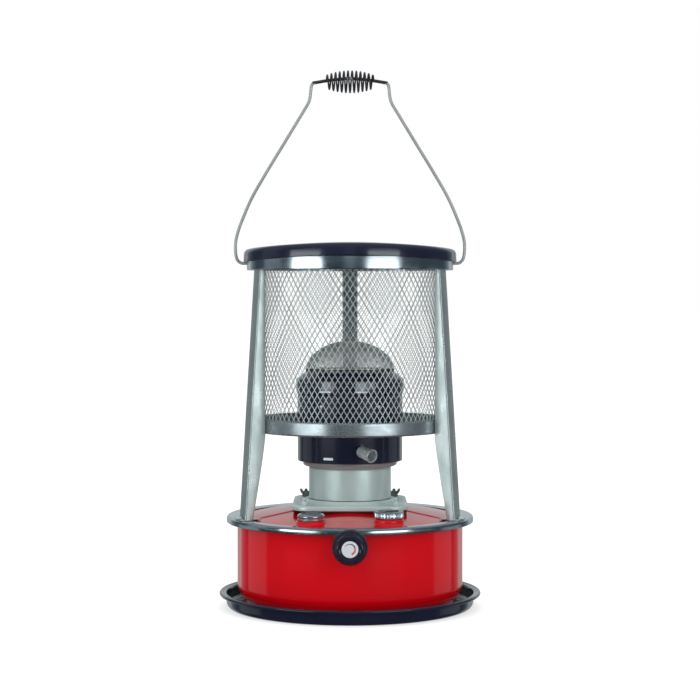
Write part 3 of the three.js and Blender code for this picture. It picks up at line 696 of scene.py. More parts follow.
def lid():
    """A shallow pressed dome with an upright wall and a rounded edge, bowed down at its sides."""
    crown_r = LID_R - LID_EDGE
    drop = 3.2

    def crown(r):
        return LID_TOP - drop * (r / crown_r) ** 2

    radii = (0, 20, 40, 60, 80, 95, 108)
    corner = (LID_R - 0.5, crown(crown_r) + 0.4)
    edge = rounded([
        (crown_r - 2, crown(crown_r - 2)), (*corner, 13.0), (LID_R, LID_LOW + 1.4),
    ], steps=14)
    wall = rounded([(LID_R, LID_LOW + 1.4), (LID_R, LID_LOW, 0.4), (LID_R - SHEET, LID_LOW, 0.4)])
    outer = [(r, crown(r)) for r in radii] + edge + wall
    inner = [(LID_R - SHEET, LID_LOW + SHEET)]
    for k, (r, z) in reversed(list(enumerate(edge))):
        inner.append((r - SHEET * (0.2 + 0.8 * k / 14), z - SHEET * (1 - 0.5 * k / 14)))
    inner += [(r, crown(r) - SHEET) for r in reversed(radii)]
    plate = revolve("lid_plate", outer + inner, sides=240)
    for vertex in plate.data.vertices:
        vertex.co.z -= LID_BOW * MM * (vertex.co.x / (LID_R * MM)) ** 2
    smooth(plate.data)
    finish(plate, "heater", "black_enamel", BLACK_ENAMEL, "top_plate")


lower_ring()
guard_mesh()
top_band()
lid()


# ---------- burner ----------

def square_radius(angle, half, corner):
    """Distance to a rounded square's edge in a direction."""
    c, s = abs(math.cos(angle)), abs(math.sin(angle))
    flat = half - corner
    if half * s / max(c, 1e-9) <= flat:
        return half / c
    if half * c / max(s, 1e-9) <= flat:
        return half / s
    b = flat * (c + s)
    return b + math.sqrt(max(0, b * b - 2 * flat * flat + corner * corner))


BASE_HALF, BASE_LOW, BASE_TOP = extent("burner_base")
BASE_PLATE_Z = BASE_TOP - 3.4
BASE_CORNER = 24
STUD_HOLE_R = 2.6


def square_ring(half, corner, z, blend=0.0, circle=0.0, count=240):
    """A round of points on a rounded square, blended from 0 to 1 towards a circle."""
    out = []
    for a in (TURN * k / count for k in range(count)):
        r = square_radius(a, half, corner) * (1 - blend) + circle * blend
        out.append((r * math.cos(a), r * math.sin(a), z))
    return out


def burner_base():
    top = BASE_PLATE_Z
    rows = (
        (1.2, 1.2, BASE_LOW), (0.2, 0.2, BASE_LOW + 0.2), (0, 0, BASE_LOW + 0.8),
        (0.1, 0.1, top - 2.6), (0.4, 0.4, top - 1.4), (1.2, 1.2, top - 0.5), (2.6, 2.6, top - 0.1),
        (4.0, 4, top), (6.5, 6, top - 0.5), (8, 8, top - 0.9), (10, 10, top - 0.9),
        (13, 12, top - 0.9, 0.35, 58.5), (15, 14, top - 0.8, 0.8, 58.2),
        (0, 0, top - 0.5, 1, 57.9), (0, 0, top + 0.6, 1, 57.3), (0, 0, top + 2.2, 1, 56.4),
        (0, 0, top + 3.0, 1, 55.4), (0, 0, top + 3.4, 1, 54.0), (0, 0, top + 3.2, 1, 52.4),
        (0, 0, top + 2.6, 1, 51.6), (0, 0, top + 2.4, 1, 50.8), (0, 0, top + 2.4, 1, 42.7),
        (0, 0, top + 1.2, 1, 42.7), (0, 0, top + 1.2, 1, 54), (0, 0, top - 1.8, 1, 56),
        (10, 10, top - 2.1), (1.4, 1.4, top - 2.3), (1.3, 1.3, BASE_LOW + 0.5),
    )
    rings = [square_ring(BASE_HALF - inset, BASE_CORNER - cut, *rest) for inset, cut, *rest in rows]
    plate = loft("burner_base_plate", rings, closed=True, sharp=50)
    carve(plate, stud_holes())
    finish(plate, "heater", "zinc_plate", ZINC_PLATE, "burner_base")


CORNERS = ("front_left", "front_right", "rear_right", "rear_left")


def corner_places():
    return [tuple(centre(f"stud_{name}")[:2]) for name in CORNERS]


def stud_holes():
    return [rod_cutter(STUD_HOLE_R, 120, 140, (*place, 0), sides=24) for place in corner_places()]


def base_gasket():
    half = corners("base_gasket")[1][0]
    z0, z1 = levels("base_gasket")
    edge = [(half, z0), (half + 0.2, (z0 + z1) / 2), (half, z1)]
    rings = [square_ring(reach, BASE_CORNER, z, count=200) for reach, z in edge]
    rings += [square_ring(0, 0, z, 1, 48, count=200) for z in (z1, z0)]
    sheet = loft("base_gasket_sheet", rings, closed=True)
    carve(sheet, stud_holes())
    finish(sheet, "heater", "gasket_rubber", GASKET, "base_gasket")


# The wings' thickness: places across it and how large the outline is there.
WING_SLICES = (
    (-1.15, 0.72), (-0.95, 0.88), (-0.5, 0.98), (0, 1.0), (0.5, 0.98), (0.95, 0.88), (1.15, 0.72),
)
THREAD_PITCH = 0.8


def wing_nut(name, place, turn):
    foot = BASE_PLATE_Z - 0.6
    hub = spun("hub", [
        (2.5, 0.2), (5.6, 0.2, 0.4), (5.4, 1.6, 0.4), (4.3, 2.4, 0.6), (3.6, 6.6, 0.8), (2.5, 6.8, 0.3),
    ], sides=40)
    outline = rounded([
        (3.0, 1.6, 0.8), (6.6, 2.6, 1.6), (10.4, 8.2, 2.2), (8.9, 11.2, 1.6), (6.6, 9.4, 1.6),
        (5.0, 6.2, 1.2), (3.0, 5.6, 0.8),
    ], closed=True, steps=4)
    middle = Vector((5.8, 6.0))
    wings = []
    for side in (0, 180):
        rings = []
        for y, scale in WING_SLICES:
            rings.append([
                (middle.x + (x - middle.x) * scale, y, middle.y + (z - middle.y) * scale)
                for x, z in outline
            ])
        wings.append(move(loft("wing", rings, sharp=50), turn=(0, 0, side)))
    nut = merge(f"wing_nut_{name}_cast", [hub, *wings])
    rear = name.startswith("rear")
    nut.data.transform(Matrix.Diagonal((0.95, 0.95, 0.95, 1) if rear else (0.85, 0.85, 0.78, 1)))
    move(nut, at=(*place, foot), turn=(0, 0, turn))
    # The rear nuts and studs get the darker zinc, a painted shade; the front ones get the plain zinc.
    metal = SHADED_REAR_ZINC if rear else ZINC_PLATE
    finish(nut, "heater", "zinc_plate", metal, f"wing_nut_{name}")
    low, high = levels(f"stud_{name}")
    rod = [(0, low)]
    z = low
    while z < high - 1:
        rod += [(2.15, z), (2.15, z + 0.15), (1.9, z + 0.4), (1.9, z + 0.55)]
        z += THREAD_PITCH
    rod += [(1.6, high), (0, high)]
    stud = revolve(f"stud_{name}_thread", rod, sides=32, sharp=60)
    move(stud, at=(*place, 0))
    finish(stud, "heater", "zinc_plate", metal, f"stud_{name}")


def burner_collar():
    flare_r, low, top = extent("burner_collar")
    tube_r = 51.0
    open_r = 42.9
    collar = spun("burner_collar_spun", [
        (tube_r - 1, low, 0.3), (tube_r, low, 0.4), (tube_r, low + 32, 0.4),
        (tube_r, top - 8.4, 1.4), (tube_r - 0.7, top - 7.6, 0.5), (tube_r + 0.6, top - 6.8, 0.8),
        (flare_r - 2.4, top - 5.8, 2.0), (flare_r - 0.3, top - 4.2, 1.4),
        (flare_r, top - 0.6, 0.5), (flare_r - 0.6, top, 0.4), (open_r, top, 0.3),
        (open_r, top - 1), (flare_r - 1.6, top - 1, 0.4), (flare_r - 1.6, top - 4, 0.6),
        (tube_r - 1.2, top - 6, 0.5), (tube_r - 1.2, top - 9, 0.5),
    ])
    finish(collar, "heater", "zinc_plate", COLLAR_ZINC, "burner_collar")


def tube_piece(name, body, slot, material, node_name, wall):
    """A plain round tube with eased ends, standing for a CAD tube on the main axis."""
    outer, low, high = extent(node_name)
    inner = outer - wall
    lip = 0.4
    tube = spun(name, [
        (inner, low, lip), (outer, low, lip), (outer, high, lip), (inner, high, lip),
    ], sides=128, steps=4)
    finish(tube, body, slot, material, node_name)


def wick():
    """Woven tubular wick: rows of stitches around, with a soft trimmed top."""
    outer, low, high = extent("wick")
    inner = outer - 3.5
    ribs = 96
    sides = ribs * 4
    heights = [low + (high - low) * k / 90 for k in range(91)]

    def ring(radius, z, depth):
        row = 0.6 + 0.4 * math.cos(z * 1.7)
        return wavy_ring(radius, z, sides, lambda k: depth * math.cos(TURN * k / 4) * row)

    rings = [ring(outer - 0.25, z, 0.2) for z in heights]
    rings += [ring(outer - 0.9, high + 0.0, 0.1), ring((outer + inner) / 2, high + 0.1, 0.1)]
    rings += [ring(inner + 0.25, z, -0.2) for z in (high, (low + high) / 2, low)]
    cloth = loft("wick_cloth", rings, closed=True, sharp=80)
    finish(cloth, "wick_lift", "wick_cotton", WICK_COTTON, "wick")


def spreader():
    outer, low, high = extent("flame_spreader")
    profile = rounded([
        (0, high), (23, high, 3), (30, high - 6.4, 2), (31, DRAFT_TOP + 2, 0.5),
        (outer, DRAFT_TOP + 1, 0.4), (outer, low), (outer - 1, low), (outer - 1, DRAFT_TOP, 0.4),
        (29.8, DRAFT_TOP + 1), (28.8, high - 6.8, 2), (22.6, high - 1.2, 3), (0, high - 1.2),
    ])
    cone = revolve("flame_spreader_spun", profile, sides=128)
    finish(cone, "heater", "heat_steel", HEAT_STEEL, "flame_spreader")


burner_base()
base_gasket()
for corner_name, corner_place, corner_turn in zip(CORNERS, corner_places(), (140, 42, -36, 38)):
    wing_nut(corner_name, corner_place, corner_turn)
burner_collar()
tube_piece("wick_guide_tube", "heater", "brass_parts", BRASS, "wick_guide", 1.0)
tube_piece("draft_tube_drawn", "heater", "brass_parts", BRASS, "draft_tube", 1.2)
wick()
spreader()


# ---------- chimney ----------

SHROUD_R, SHROUD_LOW, SHROUD_TOP = extent("chimney_shroud")
LOWER_SHROUD_R = 65.0
SHOULDER_Z = 284.0
STEP_Z = 267.0
NECK_R = 55.0
WINDOW_AZIMUTHS = {"left": -26, "right": 11.5}
WINDOW_Z = 276
SILL_Z = 270.2
AIR_SLOT_Z = 188.5


def shroud():
    shell = spun("chimney_shroud_spun", [
        (44.5, SHROUD_LOW), (LOWER_SHROUD_R - 0.6, SHROUD_LOW, 0.5),
        (LOWER_SHROUD_R + 0.1, SHROUD_LOW + 0.8, 0.5), (LOWER_SHROUD_R + 0.1, STEP_Z - 1.4, 1.0),
        (SHROUD_R - 0.2, STEP_Z + 1.0, 1.0), (SHROUD_R, SHOULDER_Z - 0.6, 1.6),
        (NECK_R + 1.2, SHROUD_TOP - 1.0, 1.4), (NECK_R, SHROUD_TOP, 0.4),
        (NECK_R - 1, SHROUD_TOP, 0.3), (SHROUD_R - 1.4, SHOULDER_Z - 1.0, 1),
        (SHROUD_R - 1.2, STEP_Z + 1.6, 0.8), (LOWER_SHROUD_R - 1, STEP_Z - 0.6, 0.8),
        (LOWER_SHROUD_R - 1, SHROUD_LOW + 1.1, 0.4), (44.5, SHROUD_LOW + 1.1, 0.3),
    ], sides=192)
    cutters = []
    for azimuth in WINDOW_AZIMUTHS.values():
        opening = block("opening", (14, 20, 13.4), (0, -SHROUD_R, WINDOW_Z), 1.2)
        cutters.append(move(opening, turn=(0, 0, azimuth)))
    carve(shell, cutters)
    finish(shell, "chimney", "black_enamel", BLACK_ENAMEL, "chimney_shroud")


def window(side, azimuth):
    pane = block(f"mica_pane_{side}", (14.6, 0.5, 13.6), (0, -63.9, WINDOW_Z), 0.1)
    move(pane, turn=(0, 0, azimuth))
    finish(pane, "chimney", "mica", MICA, f"mica_window_{side}")
    sill = block(f"window_sill_{side}", (15.2, 4.2, 2.0), (0, -SHROUD_R - 0.6, SILL_Z), 0.4)
    move(sill, turn=(0, 0, azimuth))
    finish(sill, "chimney", "bright_plate", HANDLE_STEEL)


def gauze_dome():
    """Woven gauze: wires over the dome both ways, passing over and under each other."""
    radius, low, high = extent("gauze_dome")
    rise = high - low - 0.4
    pitch = 1.3
    wire = 0.26
    weave = 0.15
    verts, faces = [], []
    count = int(radius / pitch)

    def surface_point(x, y):
        q = (x * x + y * y) / (radius * radius)
        z = low + rise * math.sqrt(max(0, 1 - q))
        normal = Vector((x / radius ** 2, y / radius ** 2, (z - low) / rise ** 2))
        return Vector((x, y, z)), normal.normalized() if normal.length > 0 else Vector((0, 0, 1))

    for direction in (0, 1):
        for line in range(-count, count + 1):
            offset = line * pitch
            reach = math.sqrt(max(0, (radius - 0.3) ** 2 - offset ** 2))
            steps = max(4, int(math.pi * reach / pitch * 1.4))
            start = len(verts)
            for i in range(steps + 1):
                s = -reach * math.cos(math.pi * i / steps)
                x, y = (s, offset) if direction == 0 else (offset, s)
                at, normal = surface_point(x, y)
                lift = weave * math.cos(math.pi * s / pitch) * (1 if (line + direction) % 2 else -1)
                at = at + normal * (lift - wire)
                flat = Vector((0, 1, 0)) if direction == 0 else Vector((1, 0, 0))
                for a, b in ((1, 0), (0, 1), (-1, 0), (0, -1)):
                    verts.append(tuple(at + flat * (a * wire) + normal * (b * wire)))
            faces += strand_faces(start, steps, 4)
    cloth = mesh_object("dome_gauze", verts, faces, sharp=89)
    finish(cloth, "chimney", "gauze", GAUZE_WIRE, "gauze_dome")
    hoop = spun("dome_hoop", [
        (radius - 1.0, low, 0.2), (radius + 0.1, low, 0.3), (radius - 0.2, low + 3.2, 0.3),
        (radius - 1.3, low + 3.4, 0.2),
    ], sides=160)
    finish(hoop, "chimney", "heat_steel", HEAT_STEEL)


def flame_tubes():
    tube_piece("flame_tube_outer_drawn", "chimney", "heat_steel", HEAT_STEEL, "flame_tube_outer", 0.8)
    outer, low, high = extent("flame_tube_inner")
    inner = spun("flame_tube_inner_drawn", [
        (33.4, low, 0.2), (34.2, low, 0.2), (34.2, high - 1, 0.5), (outer, high - 1, 0.3),
        (outer, high, 0.3), (33.4, high, 0.6),
    ], sides=128)
    finish(inner, "chimney", "heat_steel", HEAT_STEEL, "flame_tube_inner")


HANDLE_BASE = (13.0, -71.0, 198.5)
HANDLE_YAW, HANDLE_DROOP, HANDLE_LENGTH = 40, 11, 22


def chimney_handle():
    handle = spun("chimney_handle_tube", [
        (5.9, 0, 0.2), (6.9, 0, 0.3), (7.2, 8, 6), (7.9, HANDLE_LENGTH - 2.2, 0.8),
        (8.4, HANDLE_LENGTH - 0.6, 0.7), (7.6, HANDLE_LENGTH + 0.2, 0.8),
        (6.4, HANDLE_LENGTH - 0.8, 0.6), (6.7, HANDLE_LENGTH - 2.6, 0.4), (6.2, 8, 6),
    ], sides=64)
    turn = (90 + HANDLE_DROOP, 0, HANDLE_YAW)
    move(handle, at=HANDLE_BASE, turn=turn)
    finish(handle, "chimney", "bright_plate", HANDLE_STEEL, "chimney_handle")
    screw = revolve("chimney_handle_screw", rounded([
        (0, 5.2), (2.4, 5, 0.5), (3.4, 4, 0.4), (5.6, 3.9, 0.2), (5.6, 2.2, 0.2), (2, 2.2),
        (2, 0.5), (0, 0.5),
    ]), sides=48)
    finish(move(screw, at=HANDLE_BASE, turn=turn), "chimney", "zinc_plate", ZINC_PLATE, "handle_screw")


def shroud_details():
    """The air slot and the rivets of the chimney's shroud."""
    slot = block("shroud_air_slot", (13, 1.2, 3.0), (0, -LOWER_SHROUD_R - 0.1, AIR_SLOT_Z), 0.5)
    move(slot, turn=(0, 0, -24))
    finish(slot, "chimney", "zinc_plate", ZINC_PLATE)
    for index, (azimuth, z) in enumerate(((-33, 252), (33, 252), (150, 252), (-150, 252))):
        dome = rounded([(0, 1.1), (1.3, 0.9, 0.6), (2.0, 0, 0.2), (0, -0.6)])
        head = revolve(f"shroud_rivet_{index}", dome, sides=24)
        move(head, at=(0, 0, LOWER_SHROUD_R))
        move(head, turn=(90, 0, 0))
        move(head, at=(0, 0, z), turn=(0, 0, azimuth))
        finish(head, "chimney", "zinc_plate", ZINC_PLATE)


shroud()
for window_side, window_azimuth in WINDOW_AZIMUTHS.items():
    window(window_side, window_azimuth)
gauze_dome()
flame_tubes()
chimney_handle()
shroud_details()


# ---------- wick lift ----------

SHAFT_Z = centre("wick_knob")[2]


def facing(piece):
    """Lays a turned body's axis along the wick shaft, its heights counted towards the front."""
    return move(piece, at=(0, 0, SHAFT_Z), turn=(90, 0, 0))


def wick_knob():
    near, far = corners("wick_knob")
    back, front = -far[1], -near[1]
    skirt, face = 21.4, 17.4
    sides = 360
    flutes = 36

    def ring(radius, y, depth=0.0):
        points = wavy_ring(radius, y, sides, fluting(sides, flutes, depth, 2))
        return [(x, -away, SHAFT_Z + up) for x, up, away in points]

    rings = [ring(*row) for row in (
        (2.8, back), (skirt - 2.2, back), (skirt - 0.6, back + 0.8, 0.8), (skirt, back + 2.2, 1.2),
        (skirt, back + 9.4, 1.2), (skirt - 0.5, back + 11.0, 1.0), (skirt - 1.6, back + 12.2, 0.5),
        (face + 1.0, back + 13.2), (face + 0.1, back + 14.0), (face, back + 15.5),
        (face - 0.4, front - 3.0), (face - 1.2, front - 1.2), (face - 2.6, front - 0.2),
        (face - 4.0, front), (face - 5.4, front - 0.4), (face - 6.2, front - 1.1),
        (10.4, front - 1.2), (10.2, front - 0.6), (9.9, front - 0.1), (9.0, front), (2.8, front),
        (2.8, front - 2.6),
    )]
    knob = loft("wick_knob_moulded", rings, closed=True, sharp=50)
    finish(knob, "knob", "knob_plastic", KNOB_PLASTIC, "wick_knob")
    dial = facing(revolve("knob_dial_disc", rounded([
        (0, front + 0.2), (9.6, front + 0.2), (9.8, front + 0.5, 0.2), (9.5, front + 0.9, 0.2),
        (0, front + 0.95),
    ]), sides=96))
    finish(dial, "knob", "dial_pale", DIAL_PALE, "knob_dial")
    wedge_mark(front + 1.0)


def wedge_mark(y):
    """A plain level mark on the dial: an arc that widens clockwise, red at its wide end."""
    radius, first, steps = 6.9, 150, 24
    for tone, start, end, material in (("dark", first, 20, MARK_DARK), ("red", 18, -70, MARK_RED)):
        outer, inner = [], []
        for i in range(steps + 1):
            a = math.radians(start + (end - start) * i / steps)
            width = 0.5 + 2.0 * ((first - math.degrees(a)) / 220)
            for side, r in ((outer, radius), (inner, radius - width)):
                side.append((r * math.cos(a), -y, SHAFT_Z + r * math.sin(a)))
        front = outer + inner[::-1]
        back = [(x, py + 0.12, z) for x, py, z in front]
        mark = loft(f"dial_mark_{tone}", [front, back])
        finish(mark, "knob", "pointer_red" if tone == "red" else "dial_pale", material)


def shaft_fittings():
    low, high = corners("shaft_sleeve")
    near, far = -low[1], -high[1]
    sleeve = facing(spun("shaft_sleeve_tube", [
        (3.0, far, 0.2), (4.3, far, 0.2), (4.3, near, 0.3), (3.0, near, 0.2),
    ], sides=48))
    finish(sleeve, "heater", "brass_parts", BRASS, "shaft_sleeve")
    flats = []
    for y, r in ((141.8, 7.6), (142.4, 8.4), (148.8, 8.4), (149.6, 7.4)):
        flat = []
        for a in (TURN * k / 60 for k in range(60)):
            reach = r / max(math.cos(a % (TURN / 6) - TURN / 12), 0.1)
            flat.append((reach * math.cos(a) * 0.93, -y, SHAFT_Z + reach * math.sin(a) * 0.93))
        flats.append(flat)
    nut = loft("bush_nut", flats, sharp=30)
    carve(nut, [rod_cutter(BUSH_HOLE_R, 138, 154, (0, 0, SHAFT_Z), (90, 0, 0), sides=40)])
    washer = facing(spun("bush_washer", [
        (BUSH_HOLE_R, 140.6, 0.2), (9.4, 140.6, 0.2), (9.3, 141.7, 0.3), (BUSH_HOLE_R, 141.7, 0.2),
    ], sides=64))
    whole = merge("shaft_bush_nut", [nut, washer])
    finish(whole, "heater", "zinc_plate", ZINC_PLATE, "shaft_bush")


wick_knob()
shaft_fittings()


# ---------- gauge and filler ----------

def gauge():
    seat = GAUGE_SEAT + GAP
    radius = half_width("gauge_bezel")
    top = levels("gauge_bezel")[1]
    at = (GAUGE_X, GAUGE_Y, 0)
    bezel = spun("gauge_bezel_spun", [
        (radius - 1.2, seat, 0.3), (radius - 0.6, seat, 0.4), (radius - 0.2, seat + 1.6, 0.5),
        (radius - 1.0, seat + 2.6, 0.6), (radius - 0.1, seat + 4.0, 0.8), (radius, top - 2.4, 1.0),
        (radius - 1.6, top - 0.4, 1.0), (13.2, top, 0.6), (12.6, top - 0.9, 0.4),
        (13.6, top - 1.9, 0.4), (radius - 1.6, top - 2.6, 0.5), (radius - 1.6, seat + 3, 0.4),
    ], sides=96)
    finish(move(bezel, at=at), "heater", "bright_plate", BRIGHT_PLATE, "gauge_bezel")
    low, high = levels("gauge_glass")
    lens = revolve("gauge_lens_disc", rounded([
        (0, low), (13.2, low, 0.2), (13.2, high - 0.5, 0.3), (6, high, 3), (0, high),
    ]), sides=64)
    finish(move(lens, at=at), "heater", "gauge_lens", LENS, "gauge_glass")
    low, high = levels("gauge_dial")
    dial = spun("gauge_dial_plate", [
        (1.6, low), (14.4, low, 0.2), (14.4, high, 0.2), (1.6, high),
    ], sides=64)
    finish(move(dial, at=at), "heater", "dial_pale", DIAL_PALE, "gauge_dial")
    ticks = []
    for k in range(9):
        width, length = (0.5, 2.2) if k % 4 else (0.9, 3.2)
        tick = block("tick", (width, length, 0.1), (0, 11.6, high + 0.06), 0.02)
        ticks.append(move(tick, turn=(0, 0, -22.5 * k)))
    scale = move(merge("gauge_scale_marks", ticks), at=at)
    finish(scale, "heater", "pointer_red", MARK_DARK)
    hub = revolve("hub", rounded([
        (0, 119.4), (1.2, 119.4), (1.2, 122, 0.3), (1.9, 122, 0.2), (1.8, 122.9, 0.3), (0, 123),
    ]), sides=32)
    needle = block("needle", (1.3, 10, 0.5), (0, 4.6, 122.2), 0.2)
    pointer = merge("gauge_pointer_arm", [hub, needle])
    finish(move(pointer, at=at), "pointer", "pointer_red", MARK_RED, "gauge_pointer")


def filler():
    at = (CAP_X, CAP_Y, 0)
    top = levels("filler_cap")[1]
    radius = half_width("filler_cap")
    bottom = 122.0
    sides, flutes = 360, 30

    def ring(r, z, depth=0.0):
        return wavy_ring(r, z, sides, fluting(sides, flutes, depth, 3))

    rings = [ring(*row) for row in (
        (0.01, bottom - 8), (10.8, bottom - 8), (11.2, bottom - 7.5), (11.2, bottom + 0.1),
        (radius - 1, bottom), (radius - 0.2, bottom + 0.5, 0.6), (radius, bottom + 1.4, 1.0),
        (radius, top - 2.2, 1.0), (radius - 0.6, top - 0.9, 0.6), (radius - 1.8, top - 0.1, 0.1),
        (radius - 3.0, top), (radius - 3.8, top - 0.5), (radius - 4.2, top - 1.6),
        (radius - 5.2, top - 2.0), (4, top - 2.0), (2.2, top - 1.7), (0.01, top - 1.6),
    )]
    cap = loft("filler_cap_pressed", rings, sharp=50)
    finish(move(cap, at=at), "cap", "bright_plate", BRIGHT_PLATE, "filler_cap")
    low, high = levels("cap_gasket")
    outer = half_width("cap_gasket")
    seal = spun("cap_seal_ring", [
        (outer - 1.1, low, 0.4), (outer, low, 0.5), (outer, high, 0.5), (outer - 1.1, high, 0.4),
    ], sides=64)
    finish(move(seal, at=at), "cap_seal", "gasket_rubber", GASKET, "cap_gasket")


gauge()
filler()


# ---------- bail ----------

BAIL_R = 1.95
GRIP_Z = centre("bail_grip")[2]
BAIL_TOP = 656.0
GRIP_HALF = half_width("bail_grip")


def bail_wire():
    foot = [
        (121.9, 421.5), (122.3, 425), (124.4, 427), (131, 427), (135.6, 427.6), (139.6, 431),
        (141.6, 437), (142, 452.5), (139, 466), (133.6, 481), (122, 507.5), (107, 534), (82, 575),
        (62, 607.8),
    ]
    shoulder = rounded([
        (57, 616), (49.8, 627.8, 7), (47.6, 649.8, 5), (GRIP_HALF, 652.7, 4), (0, BAIL_TOP),
    ], steps=8)
    half = [(x, z) for x, _, z in curve_points([(x, 0, z) for x, z in foot], 10)] + shoulder
    path = [(-x, 0, z) for x, z in half] + [(x, 0, z) for x, z in reversed(half[:-1])]
    wire = sweep("bail_wire_bent", path, BAIL_R, sides=20)
    finish(wire, "bail", "bail_steel", BAIL_STEEL, "bail_wire")
    for side, name in ((-1, "left"), (1, "right")):
        end = rounded([
            (46.6, 650.0), (45.4, 650.2), (GRIP_HALF, 652.7, 4), (20, 654), (4, 655.6),
        ], steps=6)
        path = [(side * x, 0, z) for x, z in end]
        dip = sweep(f"bail_wire_lacquer_{name}", path, BAIL_R + 0.12, sides=16)
        finish(dip, "bail", "grip_wire", GRIP_WIRE)


def bail_grip():
    half = GRIP_HALF
    wire = 1.1
    turns = 11.5
    steps = 44
    path = []
    count = int(turns * steps)
    for i in range(count + 1):
        t = i / count
        x = -half + wire + (2 * half - 2 * wire) * t
        r = 7.5 + (13.2 - 7.5) * math.sin(math.pi * t) ** 0.8
        a = TURN * turns * t
        path.append((x, r * math.cos(a), GRIP_Z + r * math.sin(a)))
    coil = sweep("bail_grip_coil", path, wire, sides=12)
    finish(coil, "grip", "grip_wire", GRIP_WIRE, "bail_grip")


bail_wire()
bail_grip()


# ---------- inner pieces that keep their CAD shape ----------

for kept in ("wick_holder", "wick_shaft", "gauge_stem", "float_arm"):
    kept_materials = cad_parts[kept].data.materials
    kept_materials.clear()
    kept_materials.append(BRASS)


# ---------- stage, light and camera ----------

# name, width and height in m, azimuth, height and aimed height in m, power in W
SOFTBOXES = (
    ("front_softbox_left", 1.5, 1.7, -49, 1.30, 0.45, 26),
    ("front_softbox_right", 1.5, 1.95, 37, 1.09, 1.09, 28),
    ("rear_softbox", 1.6, 1.2, 180, 1.8, 0.3, 14),
)
SOFTBOX_DISTANCE = 2.4


def softbox(name, width, height, azimuth, z, aim_z, power):
    """A panel that isn't mirrored in polish, which sees the patches of sky instead."""
    light = bpy.data.lights.new(name, "AREA")
    light.shape = "RECTANGLE"
    light.size, light.size_y = width, height
    light.energy = power
    lamp = bpy.data.objects.new(name, light)
    a = math.radians(azimuth)
    lamp.location = (SOFTBOX_DISTANCE * math.sin(a), -SOFTBOX_DISTANCE * math.cos(a), z)
    lamp.rotation_euler = (Vector((0, 0, aim_z)) - lamp.location).to_track_quat("-Z", "Y").to_euler()
    lamp.visible_glossy = False
    bpy.context.scene.collection.objects.link(lamp)


def combine(tree, operation, *values):
    return node(tree, "Math", dict(enumerate(values)), operation=operation).outputs[0]


# Patches of light that polished surfaces see: azimuth and half width in degrees, the lowest and
# highest sine of the height angle, and strength.
SKY_PATCHES = (
    (-110, 15, -0.45, -0.035, 0.24), (110, 14, -0.45, -0.035, 0.22),
    (-60, 24, -0.10, -0.04, 0.30), (64, 18, -0.08, -0.04, 0.50),
    (-49, 16, -0.085, 0.10, 3.0), (37, 16, -0.085, 0.10, 2.9),
    (-150, 3, -0.45, 0.5, 0.20), (148, 3, -0.45, 0.5, 0.20),
    (0, 4, -0.05, 0.4, 0.16), (-96, 12, -0.04, 0.5, 0.16),
)
PATCH_SOFT = 3
SKY_LIGHT = 1.13
SKY_SEEN = 1.0
HAZE_DIM, HAZE_BRIGHT = (0.55, 0.78, 1.0, 1), (0.90, 0.98, 1.0, 1)


def sky_patch(tree, azimuth, height, place, half, low, high):
    """1 inside a soft-edged patch of sky, else 0. Its own azimuths are in degrees, 0 at the front."""
    away = combine(tree, "ABSOLUTE", combine(tree, "SUBTRACT", azimuth, math.radians(place)))
    inside = ranged(tree, away, 1, 0, source=(math.radians(half), math.radians(half + PATCH_SOFT)))
    above = ranged(tree, height, 0, 1, source=(low - 0.02, low + 0.02))
    below = ranged(tree, height, 1, 0, source=(high - 0.02, high + 0.02))
    return combine(tree, "MULTIPLY", combine(tree, "MULTIPLY", inside, above), below)


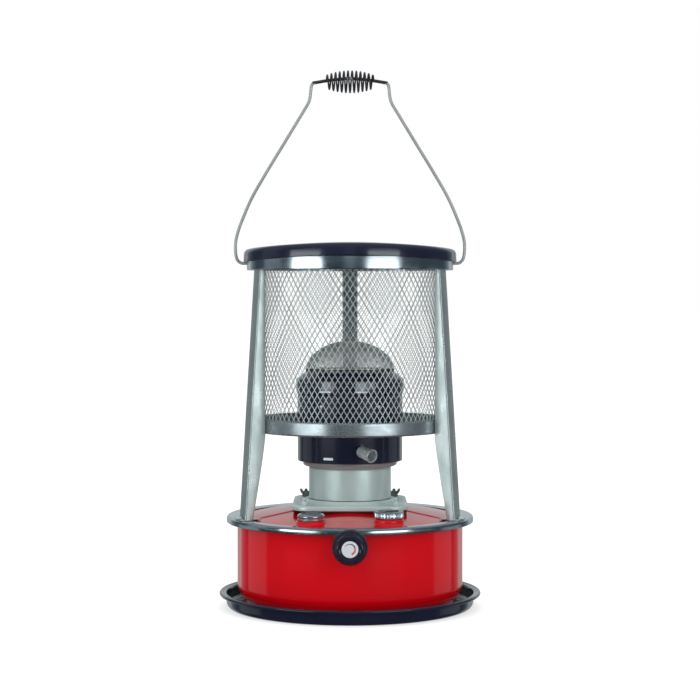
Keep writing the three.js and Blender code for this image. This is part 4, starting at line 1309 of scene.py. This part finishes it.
def sky():
    """White behind the object, even light on it, and a dim room with light patches in its polish."""
    world = bpy.data.worlds.new("studio_world")
    bpy.context.scene.world = world
    world.use_nodes = True
    world.cycles.sampling_method = "NONE"
    tree = world.node_tree
    tree.nodes.clear()
    split = node(tree, "SeparateXYZ", {"Vector": node(tree, "TexCoord").outputs["Generated"]})
    x, y, z = (split.outputs[axis] for axis in "XYZ")
    azimuth = combine(tree, "ARCTAN2", x, combine(tree, "MULTIPLY", y, -1))
    rear_glow = ranged(tree, y, 0.05, 0.50, source=(0.62, 1))
    top_glow = ranged(tree, z, 0, 0.30, source=(-0.02, 0.9))
    glow = combine(tree, "ADD", rear_glow, top_glow)
    for *patch, strength in SKY_PATCHES:
        lit = sky_patch(tree, azimuth, z, *patch)
        glow = combine(tree, "ADD", glow, combine(tree, "MULTIPLY", lit, strength))
    haze = blended(tree, ranged(tree, glow, 0, 1, source=(0.05, 0.4)), HAZE_DIM, HAZE_BRIGHT)
    shade = node(tree, "Background", {"Color": haze, "Strength": glow}).outputs["Background"]
    path = node(tree, "LightPath")
    for ray, strength in (("Is Diffuse Ray", SKY_LIGHT), ("Is Camera Ray", SKY_SEEN)):
        white = node(tree, "Background", {"Color": (1, 1, 1, 1), "Strength": strength})
        sockets = {"Fac": path.outputs[ray], 1: shade, 2: white.outputs["Background"]}
        shade = node(tree, "MixShader", sockets).outputs["Shader"]
    node(tree, "OutputWorld", {"Surface": shade})


FLOOR_SIZE = 60
FLOOR_GLOW = 0.55


def studio():
    bpy.ops.mesh.primitive_plane_add(size=FLOOR_SIZE)
    floor = bpy.context.object
    floor.name = "floor"
    paper = surface("studio_floor", (0.50, 0.50, 0.50), (0.49, 0.49, 0.49), 2, (0.8, 0.9))
    glow = {"Specular IOR Level": 0, "Emission Color": (1, 1, 1, 1), "Emission Strength": FLOOR_GLOW}
    plug(paper.node_tree, paper.node_tree.nodes["Principled BSDF"], glow)
    floor.data.materials.append(paper)
    floor.visible_glossy = False
    for settings in SOFTBOXES:
        softbox(*settings)
    sky()
    bpy.context.scene.view_settings.view_transform = "Standard"


LENS_MM = 100.3
CAMERA_PLACE = (0, -2.424, 0.394)
CAMERA_DOWN = 1.763


def camera():
    lens = bpy.data.cameras.new("camera")
    lens.sensor_width = 36
    lens.lens = LENS_MM
    view = bpy.data.objects.new("camera", lens)
    view.location = CAMERA_PLACE
    view.rotation_euler = (math.radians(90 - CAMERA_DOWN), 0, 0)
    bpy.context.scene.collection.objects.link(view)
    bpy.context.scene.camera = view


studio()
camera()
